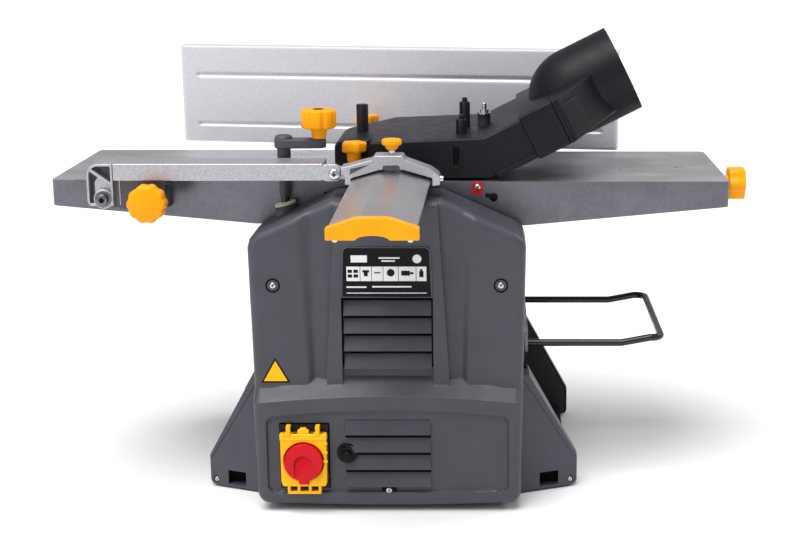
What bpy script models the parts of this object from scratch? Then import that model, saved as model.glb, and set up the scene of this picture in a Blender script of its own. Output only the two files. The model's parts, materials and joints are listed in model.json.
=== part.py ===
"""Bench-top combined planer and thicknesser, 204 mm class, as separate closed bodies.

All lengths below are in millimetres and the objects are built in metres, +Z up.
X runs along the tables (outfeed on the left, infeed on the right), Y from the
casing in front to the fence behind, Z up from the floor.  X = 0 and Z = CUTTER_Z
is the cutter axis, and Y = 0 is the front edge of the tables.
"""
import math

import bmesh
import bpy
from mathutils import Matrix, Vector

# ---- driving dimensions -------------------------------------------------------
SHIFT = Vector((-17.0, -33.0, 0.0))     # centres the outline's box on the origin
GAP = 0.3                               # running or standing gap between pieces

TABLE_HALF = 368.5                      # half of both tables' length
TABLE_DEPTH = 216.0
TABLE_TOP = 344.0                       # outfeed table
INFEED_DROP = 2.0                       # cutting depth set at rest
TABLE_END_Z = 316.0                     # underside at the free end
TABLE_ROOT_Z = 295.5                    # underside beside the casing

CUTTER_Z = 319.0
CUTTER_R = 24.0
JOURNAL_R = 8.0
ROLLER_X, ROLLER_Z, ROLLER_R = 48.0, 307.0, 14.0
MOTOR_X, MOTOR_Z, MOTOR_R = 45.0, 78.0, 43.0

UPRIGHT_FRONT_Y, UPRIGHT_REAR_Y, UPRIGHT_T = -5.0, 221.0, 3.0
CASING_FRONT, CASING_UPPER, CASING_BACK = -98.0, -82.0, -6.0
CASING_TOP = 336.0
WALL = 4.0

BED_TOP, BED_BOTTOM = 174.0, 150.0
CRANK_X, CRANK_Y = -113.0, -12.0

PIVOT_X, PIVOT_Z = -295.5, 335.0        # guard arm's hinge
CLAMP_STUD_X = -245.5
ARM_LEFT = -312.5
ARM_BACK = -24.5                        # clears the crank arm as the guard arm lifts
BLADE_HALF = 41.0
BLADE_Y = (-250.0, -8.0)
BLADE_RISE, BLADE_DRIFT = 0.055, 0.025  # per mm towards the fence
CLAMP_X = 5.5                           # blade's middle under the clamp

DUCT_ANGLE = math.radians(26.6)
DUCT_START = (139.2, 383.7)             # X, Z of the socket's mouth on the duct's axis
OUTLET_Y, OUTLET_R = 107.0, 50.0

FENCE_LEFT = Vector((-285.0, 308.0))
FENCE_RIGHT = Vector((264.0, 225.0))
FENCE_LOW, FENCE_HIGH = 345.0, 464.0
FENCE_STUD = (-45.0, 240.0)
HINGE_DEPTH, HINGE_Z = 20.0, 356.0

# colour, metallic, roughness
MATERIALS = {
    "casing": ((0.085, 0.085, 0.10), 0.0, 0.55),
    "foot_grey": ((0.11, 0.11, 0.13), 0.0, 0.6),
    "black_plastic": ((0.025, 0.025, 0.03), 0.0, 0.45),
    "yellow": ((1.0, 0.40, 0.01), 0.0, 0.3),
    "red": ((0.6, 0.01, 0.02), 0.0, 0.3),
    "green": ((0.02, 0.3, 0.06), 0.0, 0.3),
    "aluminium": ((0.55, 0.55, 0.57), 1.0, 0.35),
    "cast_silver": ((0.5, 0.5, 0.52), 0.6, 0.5),
    "steel": ((0.45, 0.45, 0.47), 1.0, 0.3),
    "black_steel": ((0.03, 0.03, 0.03), 0.3, 0.5),
    "brass": ((0.6, 0.42, 0.15), 1.0, 0.35),
    "rubber": ((0.02, 0.02, 0.02), 0.0, 0.9),
    "cream": ((0.65, 0.62, 0.48), 0.0, 0.5),
}


# ---- mesh helpers ---------------------------------------------------------------
def point(axis, u, v, w):
    """A point from its two cross-section values and its place along the axis."""
    if axis == "X":
        return (w, u, v)
    if axis == "Y":
        return (u, w, v)
    return (u, v, w)


def body(bm):
    """Turn a bmesh in millimetres into a loose object in metres."""
    bmesh.ops.recalc_face_normals(bm, faces=bm.faces)
    bmesh.ops.scale(bm, vec=(0.001, 0.001, 0.001), verts=bm.verts)
    mesh = bpy.data.meshes.new("solid")
    bm.to_mesh(mesh)
    bm.free()
    obj = bpy.data.objects.new("solid", mesh)
    bpy.context.scene.collection.objects.link(obj)
    return obj


def loft(sections):
    """Closed body through rings with equal numbers of corners."""
    bm = bmesh.new()
    rings = [[bm.verts.new(p) for p in ring] for ring in sections]
    count = len(rings[0])
    for first, second in zip(rings, rings[1:]):
        for i in range(count):
            j = (i + 1) % count
            bm.faces.new((first[i], first[j], second[j], second[i]))
    bm.faces.new(rings[0])
    bm.faces.new(list(reversed(rings[-1])))
    return body(bm)


def prism(axis, outline, low, high):
    """Straight body: an outline in the plane across the axis, from low to high."""
    return loft([[point(axis, u, v, w) for u, v in outline] for w in (low, high)])


def box(xs, ys, zs):
    outline = [(xs[0], ys[0]), (xs[1], ys[0]), (xs[1], ys[1]), (xs[0], ys[1])]
    return prism("Z", outline, zs[0], zs[1])


def ring(cu, cv, radius, steps=24):
    """Corner points of a circle."""
    turn = 2 * math.pi / steps
    return [(cu + radius * math.cos(i * turn), cv + radius * math.sin(i * turn))
            for i in range(steps)]


def rod(axis, cu, cv, radius, low, high, steps=24):
    return prism(axis, ring(cu, cv, radius, steps), low, high)


def turned(axis, cu, cv, stations, steps=24):
    """Round body from (place, radius) stations along the axis."""
    return loft([[point(axis, u, v, place) for u, v in ring(cu, cv, radius, steps)]
                 for place, radius in stations])


def rounded(us, vs, radius, steps=3):
    """Rectangle outline with rounded corners."""
    corners = [(us[1] - radius, vs[1] - radius, 0), (us[0] + radius, vs[1] - radius, 90),
               (us[0] + radius, vs[0] + radius, 180), (us[1] - radius, vs[0] + radius, 270)]
    outline = []
    for cu, cv, start in corners:
        for i in range(steps + 1):
            angle = math.radians(start + 90 * i / steps)
            outline.append((cu + radius * math.cos(angle), cv + radius * math.sin(angle)))
    return outline


def scalloped(cu, cv, radius, lobes, depth, per_lobe=6):
    """Outline of a star knob: lobes with hollows between them."""
    count = lobes * per_lobe
    outline = []
    for i in range(count):
        angle = 2 * math.pi * i / count
        reach = radius - depth * (0.5 - 0.5 * math.cos(lobes * angle))
        outline.append((cu + reach * math.cos(angle), cv + reach * math.sin(angle)))
    return outline


def belt_path(circles, steps=10):
    """Outline round two circles (u, v, radius), as a taut belt runs."""
    (u0, v0, r0), (u1, v1, r1) = circles
    heading = math.atan2(v1 - v0, u1 - u0)
    spread = math.acos((r0 - r1) / math.hypot(u1 - u0, v1 - v0))
    outline = []
    for i in range(steps + 1):
        angle = heading + spread + (2 * math.pi - 2 * spread) * i / steps
        outline.append((u0 + r0 * math.cos(angle), v0 + r0 * math.sin(angle)))
    for i in range(steps + 1):
        angle = heading - spread + 2 * spread * i / steps
        outline.append((u1 + r1 * math.cos(angle), v1 + r1 * math.sin(angle)))
    return outline


def mirrored(outline):
    return [(-u, v) for u, v in outline]


def combine(obj, others, operation):
    """Apply one exact Boolean for each of the other bodies, which are used up."""
    for other in others:
        step = obj.modifiers.new("step", "BOOLEAN")
        step.operation = operation
        step.solver = "EXACT"
        step.object = other
        bpy.context.view_layer.update()
        graph = bpy.context.evaluated_depsgraph_get()
        result = bpy.data.meshes.new_from_object(obj.evaluated_get(graph))
        obj.modifiers.remove(step)
        obj.data = result
        bpy.data.objects.remove(other)
    return obj


def cut(obj, *others):
    return combine(obj, others, "DIFFERENCE")


def join(obj, *others):
    return combine(obj, others, "UNION")


def overlap(obj, *others):
    return combine(obj, others, "INTERSECT")


def piece(name, obj, material, pivot=(0.0, 0.0, 0.0)):
    """Name a finished body, colour it and put its origin on its pivot."""
    centre = Vector(pivot)
    obj.name = name
    obj.data.name = name
    obj.data.transform(Matrix.Translation(-centre * 0.001))
    obj.location = (centre + SHIFT) * 0.001
    colour, metallic, roughness = MATERIALS[material]
    paint = bpy.data.materials.new(name)
    paint.use_nodes = True
    shader = paint.node_tree.nodes["Principled BSDF"]
    shader.inputs["Base Color"].default_value = (*colour, 1.0)
    shader.inputs["Metallic"].default_value = metallic
    shader.inputs["Roughness"].default_value = roughness
    obj.data.materials.clear()
    obj.data.materials.append(paint)
    for face in obj.data.polygons:
        face.material_index = 0
    obj.data.shade_smooth()
    obj.data.set_sharp_from_angle(angle=math.radians(35))
    return obj


# ---- base and uprights ------------------------------------------------------------
UPRIGHT = [(-202, 4), (-202, 36), (-148, 136), (-139, 290), (-56, 329),
           (56, 329), (139, 290), (148, 136), (202, 36), (202, 4)]
CUTTER_HOLE_R = 20.3
JOURNAL_HOLE_R = 5.4
FINGER_X, FINGER_Z = 66.5, 322.0
BED_NUT_Z = (150.0, 166.0)
BED_TRAVEL = 115.0
GUIDE_X, GUIDE_R = 113.0, 5.6           # guide posts, outside the uprights
GUIDE_FRONT_Y, GUIDE_REAR_Y = -12.5, 231.5
SLOT_HALF = 12.0


def build_frame():
    base = box((-196, 196), (-1.5, 220.5), (8, 11))
    piece("base_plate", base, "black_steel")

    front = prism("Y", UPRIGHT, UPRIGHT_FRONT_Y, UPRIGHT_FRONT_Y + UPRIGHT_T)
    rear = prism("Y", UPRIGHT, UPRIGHT_REAR_Y, UPRIGHT_REAR_Y + UPRIGHT_T)
    for plate, middle in ((front, UPRIGHT_FRONT_Y), (rear, UPRIGHT_REAR_Y)):
        span = (middle - 5, middle + 8)
        cut(plate, rod("Y", 0, CUTTER_Z, CUTTER_HOLE_R, *span))
        for x in (-ROLLER_X, ROLLER_X):
            cut(plate, rod("Y", x, ROLLER_Z, JOURNAL_HOLE_R, *span, steps=16))
        cut(plate, rod("Y", FINGER_X, FINGER_Z, 3.4, *span, steps=12))
    cut(front, rod("Y", MOTOR_X, MOTOR_Z, 12, -12, 5))
    slot_top = BED_NUT_Z[1] + BED_TRAVEL + 6
    slot_z = (BED_NUT_Z[0] - 6, slot_top)
    for x in (CRANK_X, GUIDE_X):
        cut(front, box((x - SLOT_HALF, x + SLOT_HALF), (-12, 5), slot_z))
    cut(rear, box((-GUIDE_X - SLOT_HALF, -GUIDE_X + SLOT_HALF), (215, 230), slot_z))
    piece("front_upright", front, "black_steel")
    piece("rear_upright", rear, "black_steel")

    for name, x, y in (("front_left", -180, 14), ("front_right", 180, 14),
                       ("rear_left", -180, 205), ("rear_right", 180, 205)):
        foot = turned("Z", x, y, ((0, 10.5), (1.5, 12), (8 - GAP, 12)), steps=20)
        piece("rubber_foot_" + name, foot, "rubber", (x, y, 0))

    for name, x, y in (("front", GUIDE_X, GUIDE_FRONT_Y), ("rear", -GUIDE_X, GUIDE_REAR_Y)):
        piece("guide_post_" + name, rod("Z", x, y, GUIDE_R, 9 + GAP, 292), "steel")


# ---- casing -------------------------------------------------------------------------
SILHOUETTE = [(-141, 5), (-146, 285), (-143, 295), (-136, 301), (-57, CASING_TOP),
              (57, CASING_TOP), (136, 301), (143, 295), (146, 285), (141, 5)]
HOLLOW = [(-137, 9), (-142, 284), (-139.5, 292), (-134, 297.5), (-56, CASING_TOP - WALL),
          (56, CASING_TOP - WALL), (134, 297.5), (139.5, 292), (142, 284), (137, 9)]
FLUTE_X = (73.0, 88.0)                  # flute's middle at the ledge and at the roof
SWITCH_X, SWITCH_Z = (-115.6, -62.6), (26.0, 99.0)
RESET_X, RESET_Z = -44.0, 66.0
LOUVRE_PITCH = 19.4


def casing_shell(profile, inner_profile, silhouette_y):
    shell = overlap(prism("Y", SILHOUETTE, *silhouette_y), prism("X", profile, -160, 160))
    hollow = overlap(prism("Y", HOLLOW, silhouette_y[0] - 10, silhouette_y[1] + 10),
                     prism("X", inner_profile, -165, 165))
    return cut(shell, hollow)


def build_casing():
    front, upper, back = CASING_FRONT, CASING_UPPER, CASING_BACK
    profile = [(back, 0), (front, 0), (front, 128), (upper, 145), (upper, 327),
               (upper + 8, 340), (back, 340)]
    inside = [(back + 5, 9), (front + WALL, 9), (front + WALL, 126), (upper + WALL, 143),
              (upper + WALL, 325), (upper + 10, CASING_TOP - WALL), (back + 5, CASING_TOP - WALL)]
    cover = casing_shell(profile, inside, (front - 2, back))
    for side in (-1, 1):
        low, high = side * FLUTE_X[0], side * FLUTE_X[1]
        flute = loft([[(low + 7 * math.cos(a), upper + 2.4 * math.sin(a), 140)
                       for a in (0, math.pi / 3, 2 * math.pi / 3, math.pi, 1.5 * math.pi)],
                      [(high + 11 * math.cos(a), upper + 2.4 * math.sin(a), 345)
                       for a in (0, math.pi / 3, 2 * math.pi / 3, math.pi, 1.5 * math.pi)]])
        cut(cover, flute)
    cut(cover, prism("Y", rounded((-128.5, 128.5), (21, 114), 8), front - 3, front + 1.5))
    for row in range(4):
        low = 157 + row * LOUVRE_PITCH
        cut(cover, box((-47, 47), (upper - 5, upper + 9), (low, low + 11)))
        low = 31 + row * LOUVRE_PITCH
        cut(cover, box((-32, 46), (front - 5, front + 9), (low, low + 11)))
    cut(cover, box(SWITCH_X, (front - 5, front + 9), SWITCH_Z))
    cut(cover, rod("Y", RESET_X, RESET_Z, 7.4, front - 5, front + 9, steps=16))
    join(cover, rod("Z", CRANK_X, CRANK_Y - 2, 3.5 + 8, 296, 320.5))
    cut(cover, box((-130, -95), (back, back + 12), (290, 322)))
    cut(cover, rod("Z", CRANK_X, CRANK_Y, 5.4, 280, 330))
    piece("front_cover", cover, "casing")

    back_profile = [(224 + GAP, 0), (250, 0), (250, 327), (243, 340), (224 + GAP, 340)]
    back_inside = [(219, 9), (246, 9), (246, 325), (241, CASING_TOP - WALL),
                   (219, CASING_TOP - WALL)]
    rear = casing_shell(back_profile, back_inside, (224 + GAP, 255))
    for row in range(4):
        low = 40 + row * LOUVRE_PITCH
        cut(rear, box((0, 90), (240, 255), (low, low + 11)))
    piece("rear_cover", rear, "casing")


def build_feet():
    """Flared plastic covers over the uprights' feet."""
    outline = [(-148.5, 2), (-199, 2), (-203, 3.5), (-205, 7), (-205, 36), (-150, 136),
               (-148.5, 136)]
    pocket = [(-151, 22), (-183, 22), (-201, 22), (-201, 35), (-151, 126)]
    for depth, spans in (("front", (-20, UPRIGHT_FRONT_Y - GAP)), ("rear", (224 + GAP, 238))):
        low, high = spans
        hollow = (low + 3, high + 5) if depth == "front" else (low - 5, high - 3)
        for side in ("left", "right"):
            turn = (lambda shape: shape) if side == "left" else mirrored
            wing = prism("Y", turn(outline), low, high)
            cut(wing, prism("Y", turn(pocket), *hollow))
            cut(wing, prism("Y", turn([(-184, 4.5), (-163, 4.5), (-163, 21), (-184, 21)]),
                            low - 5, high + 5))
            piece(depth + "_foot_cover_" + side, wing, "foot_grey")


# ---- tables ---------------------------------------------------------------------------
def build_tables():
    profile = [(-TABLE_HALF, TABLE_TOP), (-27, TABLE_TOP), (-29, 336), (-36, 331), (-72, 331),
               (-79, TABLE_ROOT_Z + 0.5), (-147, TABLE_ROOT_Z), (-TABLE_HALF, TABLE_END_Z)]
    plan = rounded((-TABLE_HALF, -20), (0, TABLE_DEPTH), 6)
    bays_x = [(-361 + 55.4 * i, -361 + 55.4 * i + 49) for i in range(5)]
    bays_y = [(7, 70), (77, 139), (146, 209)]
    for name, side, drop in (("outfeed_table", 1, 0.0), ("infeed_table", -1, INFEED_DROP)):
        table = overlap(prism("Y", [(side * u, v - drop) for u, v in profile], 0, TABLE_DEPTH),
                        prism("Z", [(side * u, v) for u, v in plan], 280, 350))
        for x0, x1 in bays_x:
            for y0, y1 in bays_y:
                span = (x0, x1) if side == 1 else (-x1, -x0)
                cut(table, box(span, (y0, y1), (285, TABLE_TOP - 8 - drop)))
        piece(name, table, "aluminium")

    knob = join(prism("X", scalloped(98, 325, 20, 6, 3), 384, 402),
                turned("X", 98, 325, ((369.2, 9), (384.5, 9)), steps=20))
    piece("depth_knob", knob, "yellow", (385, 98, 325))
    pointer = prism("Y", rounded((89, 100), (328, 342), 2.5), -3.5, -GAP)
    piece("depth_pointer", pointer, "red")


# ---- cutter, rollers and drive ------------------------------------------------------------
def build_drive():
    block = turned("Y", 0, CUTTER_Z, ((-32, 5), (-12, 5), (-11.99, JOURNAL_R), (5, JOURNAL_R),
                                      (5.01, CUTTER_R), (211, CUTTER_R), (211.01, JOURNAL_R),
                                      (226, JOURNAL_R)), steps=32)
    for low, high in ((8, 30), (-30, -8)):
        cut(block, box((-2.6, 2.6), (0, 215), (CUTTER_Z + low, CUTTER_Z + high)))
    piece("cutter_block", block, "steel", (0, 105, CUTTER_Z))
    for name, side in (("knife_a", 1), ("knife_b", -1)):
        heights = sorted((CUTTER_Z + side * 9, CUTTER_Z + side * 24.6))
        piece(name, box((-1.3, 1.3), (6, 210), heights), "steel", (0, 105, CUTTER_Z))

    for name, low, high in (("front_bearing", -5.7, 3), ("rear_bearing", 213, 224)):
        housing = rod("Y", 0, CUTTER_Z, CUTTER_HOLE_R - GAP, low, high)
        cut(housing, rod("Y", 0, CUTTER_Z, JOURNAL_R + GAP, low - 5, high + 5))
        piece(name, housing, "steel")

    pulley = cut(rod("Y", 0, CUTTER_Z, 9, -30, -14), rod("Y", 0, CUTTER_Z, 5.3, -40, 0))
    piece("cutter_pulley", pulley, "steel", (0, -22, CUTTER_Z))
    pulley = cut(rod("Y", MOTOR_X, MOTOR_Z, 20, -30, -14), rod("Y", MOTOR_X, MOTOR_Z, 6.3, -40, 0))
    piece("motor_pulley", pulley, "steel", (MOTOR_X, -22, MOTOR_Z))
    belt = prism("Y", belt_path(((0, CUTTER_Z, 12.4), (MOTOR_X, MOTOR_Z, 24))), -28, -16)
    cut(belt, prism("Y", belt_path(((0, CUTTER_Z, 9.4), (MOTOR_X, MOTOR_Z, 20.6))), -40, 0))
    piece("drive_belt", belt, "rubber")

    motor = turned("Y", MOTOR_X, MOTOR_Z, ((-32, 6), (4, 6), (4.01, 30), (12, 36), (16, MOTOR_R),
                                           (130, MOTOR_R), (136, 36), (146, 30)))
    join(motor, box((MOTOR_X - 28, MOTOR_X + 28), (30, 112), (11 + GAP, 50)))
    piece("motor", motor, "black_steel")

    for name, x in (("infeed_roller", ROLLER_X), ("outfeed_roller", -ROLLER_X)):
        roller = turned("Y", x, ROLLER_Z, ((-4.5, 5), (6, 5), (6.01, ROLLER_R),
                                           (210, ROLLER_R), (210.01, 5), (228.4, 5),
                                           (228.41, 12), (231.6, 12)))
        piece(name, roller, "rubber", (x, 108, ROLLER_Z))
    chain = prism("Y", belt_path(((-ROLLER_X, ROLLER_Z, 16), (ROLLER_X, ROLLER_Z, 16))),
                  228.6, 231.4)
    cut(chain, prism("Y", belt_path(((-ROLLER_X, ROLLER_Z, 12.5), (ROLLER_X, ROLLER_Z, 12.5))),
                     220, 240))
    piece("feed_chain", chain, "steel")

    fingers = rod("Y", FINGER_X, FINGER_Z, 3, -4.5, 223.5, steps=12)
    for i in range(9):
        low = 10 + i * 23
        tooth = [(63.8, 324), (69, 324.5), (71, 299), (68, 297)]
        join(fingers, prism("Y", tooth, low, low + 8))
    piece("kickback_fingers", fingers, "steel", (FINGER_X, 108, FINGER_Z))


# ---- thicknessing bed -----------------------------------------------------------------------
WIRE_Y = (12.5, 208.0)
WIRE_Z, WIRE_R = 157.0, 4.0


def build_bed():
    bed = box((-150, 150), (0, 219), (BED_BOTTOM, BED_TOP))
    cut(bed, box((-142, 142), (6, 213), (BED_BOTTOM - 5, BED_TOP - 8)))
    for x in (-85.2, -28.4, 28.4, 85.2):
        join(bed, box((x - 2, x + 2), (4, 215), (BED_BOTTOM, BED_TOP - 6)))
    for y in (75, 144):
        join(bed, box((-144, 144), (y - 2, y + 2), (BED_BOTTOM, BED_TOP - 6)))
    for x, y, span in ((GUIDE_X, GUIDE_FRONT_Y, (-21, 3)), (-GUIDE_X, GUIDE_REAR_Y, (216, 240))):
        join(bed, box((x - 10, x + 10), span, (BED_BOTTOM, BED_BOTTOM + 14)))
        cut(bed, rod("Z", x, y, GUIDE_R + 0.4, BED_BOTTOM - 5, BED_TOP + 5))
    for y in WIRE_Y:
        cut(bed, rod("X", y, WIRE_Z, WIRE_R + GAP, -135, 155, steps=12))
    piece("thickness_table", bed, "aluminium", (0, 109, BED_TOP))

    nut = prism("Z", [(CRANK_X + u, v) for u, v in ((-10, -0.3), (-10, -16), (-6, -21), (6, -21),
                                                    (10, -16), (10, -0.3))], *BED_NUT_Z)
    cut(nut, rod("Z", CRANK_X, CRANK_Y, 5.4, 140, 180, steps=20))
    piece("bed_nut", nut, "brass")

    # U-shaped rod: out along X, a low step up near the end, across and back again
    low_y, high_y = WIRE_Y
    reach, bend = 300.0, 12.0
    path = [(70, low_y, WIRE_Z), (255, low_y, WIRE_Z), (268, low_y, WIRE_Z + 7)]
    for i in range(4):
        a = math.radians(30 * i)
        path.append((reach - bend + bend * math.sin(a), low_y + bend - bend * math.cos(a),
                     WIRE_Z + 7))
    for i in range(4):
        a = math.radians(30 * i)
        path.append((reach - bend + bend * math.cos(a), high_y - bend + bend * math.sin(a),
                     WIRE_Z + 7))
    path += [(268, high_y, WIRE_Z + 7), (255, high_y, WIRE_Z), (70, high_y, WIRE_Z)]
    points = [Vector(p) for p in path]
    sections = []
    for i, here in enumerate(points):
        before = points[max(i - 1, 0)]
        after = points[min(i + 1, len(points) - 1)]
        along = (after - before).normalized()
        side = along.cross(Vector((0, 0, 1))).normalized()
        up = side.cross(along)
        sections.append([tuple(here + side * u + up * v) for u, v in ring(0, 0, WIRE_R, 10)])
    piece("wire_support", loft(sections), "black_steel", (150, 110, WIRE_Z))


# ---- height crank -----------------------------------------------------------------------------
def build_crank():
    shaft = turned("Z", CRANK_X, CRANK_Y, ((20, 5), (329, 5), (329.01, 6.5), (380.7, 6.5)))
    piece("crank_shaft", shaft, "steel", (CRANK_X, CRANK_Y, 330))
    washer = cut(rod("Z", CRANK_X, CRANK_Y, 11.5, 321, 324),
                 rod("Z", CRANK_X, CRANK_Y, 5.4, 310, 330))
    piece("crank_washer", washer, "cream")
    reach = 38.0
    arm = prism("Z", belt_path(((CRANK_X, CRANK_Y, 10), (CRANK_X + reach, CRANK_Y, 7.5))), 381, 391)
    join(arm, turned("Z", CRANK_X, CRANK_Y, ((384, 10.5), (395, 10), (397, 8))))
    piece("crank_arm", arm, "foot_grey", (CRANK_X, CRANK_Y, 386))
    x = CRANK_X + reach
    knob = turned("Z", x, CRANK_Y, ((391.3, 8.5), (400, 8.5), (402, 16), (406, 18.6), (418, 18.9),
                                    (422, 17.5), (423, 14)))
    piece("crank_knob", knob, "yellow", (x, CRANK_Y, 405))


# ---- cutter guard ---------------------------------------------------------------------------------
def build_guard():
    bracket = join(box((PIVOT_X - 22, PIVOT_X + 58), (-14, -GAP), (317, 341)),
                   box((PIVOT_X - 11, PIVOT_X + 11), (-20, -10), (323, 341)))
    cut(bracket, rod("Y", CLAMP_STUD_X, 334, 3.8, -30, 5, steps=16))
    piece("guard_bracket", bracket, "black_steel")

    arm = box((ARM_LEFT, -66), (-66, ARM_BACK), (354, 372))
    cut(arm, box((ARM_LEFT + 3, -60), (-63, ARM_BACK - 3), (345, 369)))
    head = prism("Y", [(ARM_LEFT + u, v) for u, v in ((0, 362), (0, 333), (4, 327), (38, 327),
                                                      (40, 345), (40, 371), (7, 371), (0, 364))],
                 -66, -60)
    join(arm, head, rod("Y", PIVOT_X, PIVOT_Z, 7, -63, -20 - GAP, steps=20))
    plate = prism("Y", rounded((PIVOT_X + 20, PIVOT_X + 65), (312, 358), 4), -63.5, -57)
    slot = [(PIVOT_X + 45.8 * math.cos(math.radians(a)), PIVOT_Z + 45.8 * math.sin(math.radians(a)))
            for a in (-12, -9, -6, -3, 0, 4)]
    slot += [(PIVOT_X + 54.2 * math.cos(math.radians(a)), PIVOT_Z + 54.2 * math.sin(math.radians(a)))
             for a in (4, 0, -3, -6, -9, -12)]
    join(arm, cut(plate, prism("Y", slot, -80, -50)))
    tongue = prism("Y", rounded((-70, -47.4), (352, 371), 6), -66, -60)
    cut(tongue, rod("Y", -54, 361, 4, -80, -50, steps=12))
    join(arm, tongue)
    piece("guard_arm", arm, "cast_silver", (PIVOT_X, -40, PIVOT_Z))

    knob = prism("Y", scalloped(CLAMP_STUD_X, 334, 21, 7, 3), -96, -76)
    join(knob, turned("Y", CLAMP_STUD_X, 334, ((-77, 13), (-67, 13), (-66.99, 3.5), (-4, 3.5)),
                      steps=20))
    piece("arm_clamp_knob", knob, "yellow", (CLAMP_STUD_X, -84, 334))

    low, high = CLAMP_X - BLADE_HALF - 1.2, CLAMP_X + BLADE_HALF + 1.2
    bridge = prism("Y", [(-43, 350), (-43, 359), (-47, 361), (-47, 368), (-40, 369.5), (-15, 376),
                         (-12, 380.5), (17, 380.5), (20, 376), (46, 366.5), (54, 361), (56, 357),
                         (56, 350), (high, 350), (high, 356.4), (CLAMP_X + 13, 365.2),
                         (CLAMP_X - 13, 365.2), (low, 356.4), (low, 350)], -67, -40)
    join(bridge, prism("Y", [(-66, 354), (-66, 366), (-60, 368.5), (-40, 367), (-40, 354)],
                       -59.7, -50))
    cut(bridge, rod("Z", CLAMP_X, -53.5, 2.9, 350, 390, steps=12))
    join(bridge, rod("Y", -54, 361, 3.7, -66, -55, steps=12))
    piece("guard_clamp", bridge, "cast_silver", (-54, -55, 361))

    # folded blade, rising and drifting a little on its way to the fence
    roof = [(-BLADE_HALF, 347), (-12, 355.8), (12, 355.8), (BLADE_HALF, 347),
            (BLADE_HALF, 344.6), (12, 353.4), (-12, 353.4), (-BLADE_HALF, 344.6)]
    sections = []
    for y in BLADE_Y:
        run = y - BLADE_Y[0]
        sections.append([(u + 0.2 + BLADE_DRIFT * run, y, v - 3 + BLADE_RISE * run)
                         for u, v in roof])
    piece("guard_blade", loft(sections), "aluminium")
    cap = [(-43.5, 332.3), (-43.5, 344), (-15, 353.3), (15, 353.3), (43.5, 344), (43.5, 332.3),
           (15, 332.3), (11, 336.5), (-11, 336.5), (-15, 332.3)]
    piece("guard_end_cap", prism("Y", cap, BLADE_Y[0] - 12, BLADE_Y[0] - GAP), "yellow")
    knob = turned("Z", CLAMP_X, -53.5, ((366, 2.5), (381, 2.5), (381.01, 6), (386, 6),
                                        (386.5, 10.4), (395, 10.4), (396.5, 8.5)))
    piece("guard_clamp_knob", knob, "yellow", (CLAMP_X, -53.5, 390))


# ---- chip hood and outlet ------------------------------------------------------------------------------
def on_duct(along, across):
    """A point (X, Z) in the inclined duct: along its axis from the socket, and across it."""
    c, s = math.cos(DUCT_ANGLE), math.sin(DUCT_ANGLE)
    return (DUCT_START[0] + along * c - across * s, DUCT_START[1] + along * s + across * c)


def frustum(along, half_wide, half_high, corner, lift):
    """Rounded rectangle ring across the duct."""
    outline = rounded((-half_wide, half_wide), (-half_high, half_high), corner, 5)
    spots = [(OUTLET_Y + u, on_duct(along, v + lift)) for u, v in outline]
    return [(x, y, z) for y, (x, z) in spots]


def build_hood():
    duct_half = 22.0
    outer = [(-63, 345), (-63, 378), (-57, 383), (96, 389), on_duct(-30, duct_half),
             on_duct(20, duct_half), on_duct(20, -duct_half), on_duct(-34, -duct_half),
             (108, 345)]
    inner = [(-60, 340), (-60, 377), (-56, 380), (97, 386), on_duct(-29, duct_half - 3),
             on_duct(30, duct_half - 3), on_duct(30, 3 - duct_half), on_duct(-33, 3 - duct_half),
             (105, 346), (103, 340)]
    plan = [(-63, 3), (-63, 120), (-8, 212), (200, 212), (200, 3)]
    plan_in = [(-60, 6), (-60, 119), (-6, 209), (210, 209), (210, 6)]
    notch_x, notch_depth, flange_z = (-57, -23), 27.0, 351.0
    hood = overlap(prism("Y", outer, 0, 215), prism("Z", plan, 330, 430))
    room = overlap(prism("Y", inner, -2, 217), prism("Z", plan_in, 320, 450))
    cut(room, box((notch_x[0] - 3, notch_x[1] + 3), (-5, notch_depth + 3), (flange_z - 3, 420)))
    cut(hood, room, box(notch_x, (-5, notch_depth), (flange_z, 420)))
    for x, y, radius, top in ((-37.5, 97, 6.8, 414.5), (76, 50, 6, 404), (79, 100, 6, 422),
                              (101, 102, 7.4, 403)):
        join(hood, rod("Z", x, y, radius, 379, top, steps=16))
    knob_y = 11
    cut(hood, rod("Z", -40, knob_y, 3.3, 340, 365, steps=12))
    piece("chip_hood", hood, "black_plastic", (22, 108, 345))

    knob = join(prism("Z", scalloped(-40, knob_y, 14, 5, 3), 373, 384),
                turned("Z", -40, knob_y, ((346, 3), (361, 3), (361.01, 8), (374, 8)), steps=16))
    piece("hood_knob", knob, "yellow", (-40, knob_y, 378))

    half = 103.0
    stations = [(0, half + 4, 26, 6, 0), (38, half + 4, 26, 6, 0), (52, half, 25, 12, 0),
                (62, 92, 36, 30, 6), (74, 72, 47, 45, 9), (84, 54, 51, 50.9, 10),
                (92, OUTLET_R, OUTLET_R, OUTLET_R - 0.1, 10), (139, OUTLET_R, OUTLET_R,
                                                               OUTLET_R - 0.1, 10)]
    shell = loft([frustum(*station) for station in stations])
    bore = [(along, w - 3, h - 3, max(r - 3, 3), lift) for along, w, h, r, lift in stations]
    bore[0] = (-5, half + 2.6, 22.6, 0.5, 0)
    bore[1] = (24, half + 2.6, 22.6, 0.5, 0)
    bore[-1] = (150, OUTLET_R - 3, OUTLET_R - 3, OUTLET_R - 3.1, 10)
    cut(shell, loft([frustum(*station) for station in bore]))
    piece("outlet_adapter", shell, "black_plastic", (DUCT_START[0], OUTLET_Y, DUCT_START[1]))


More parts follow.
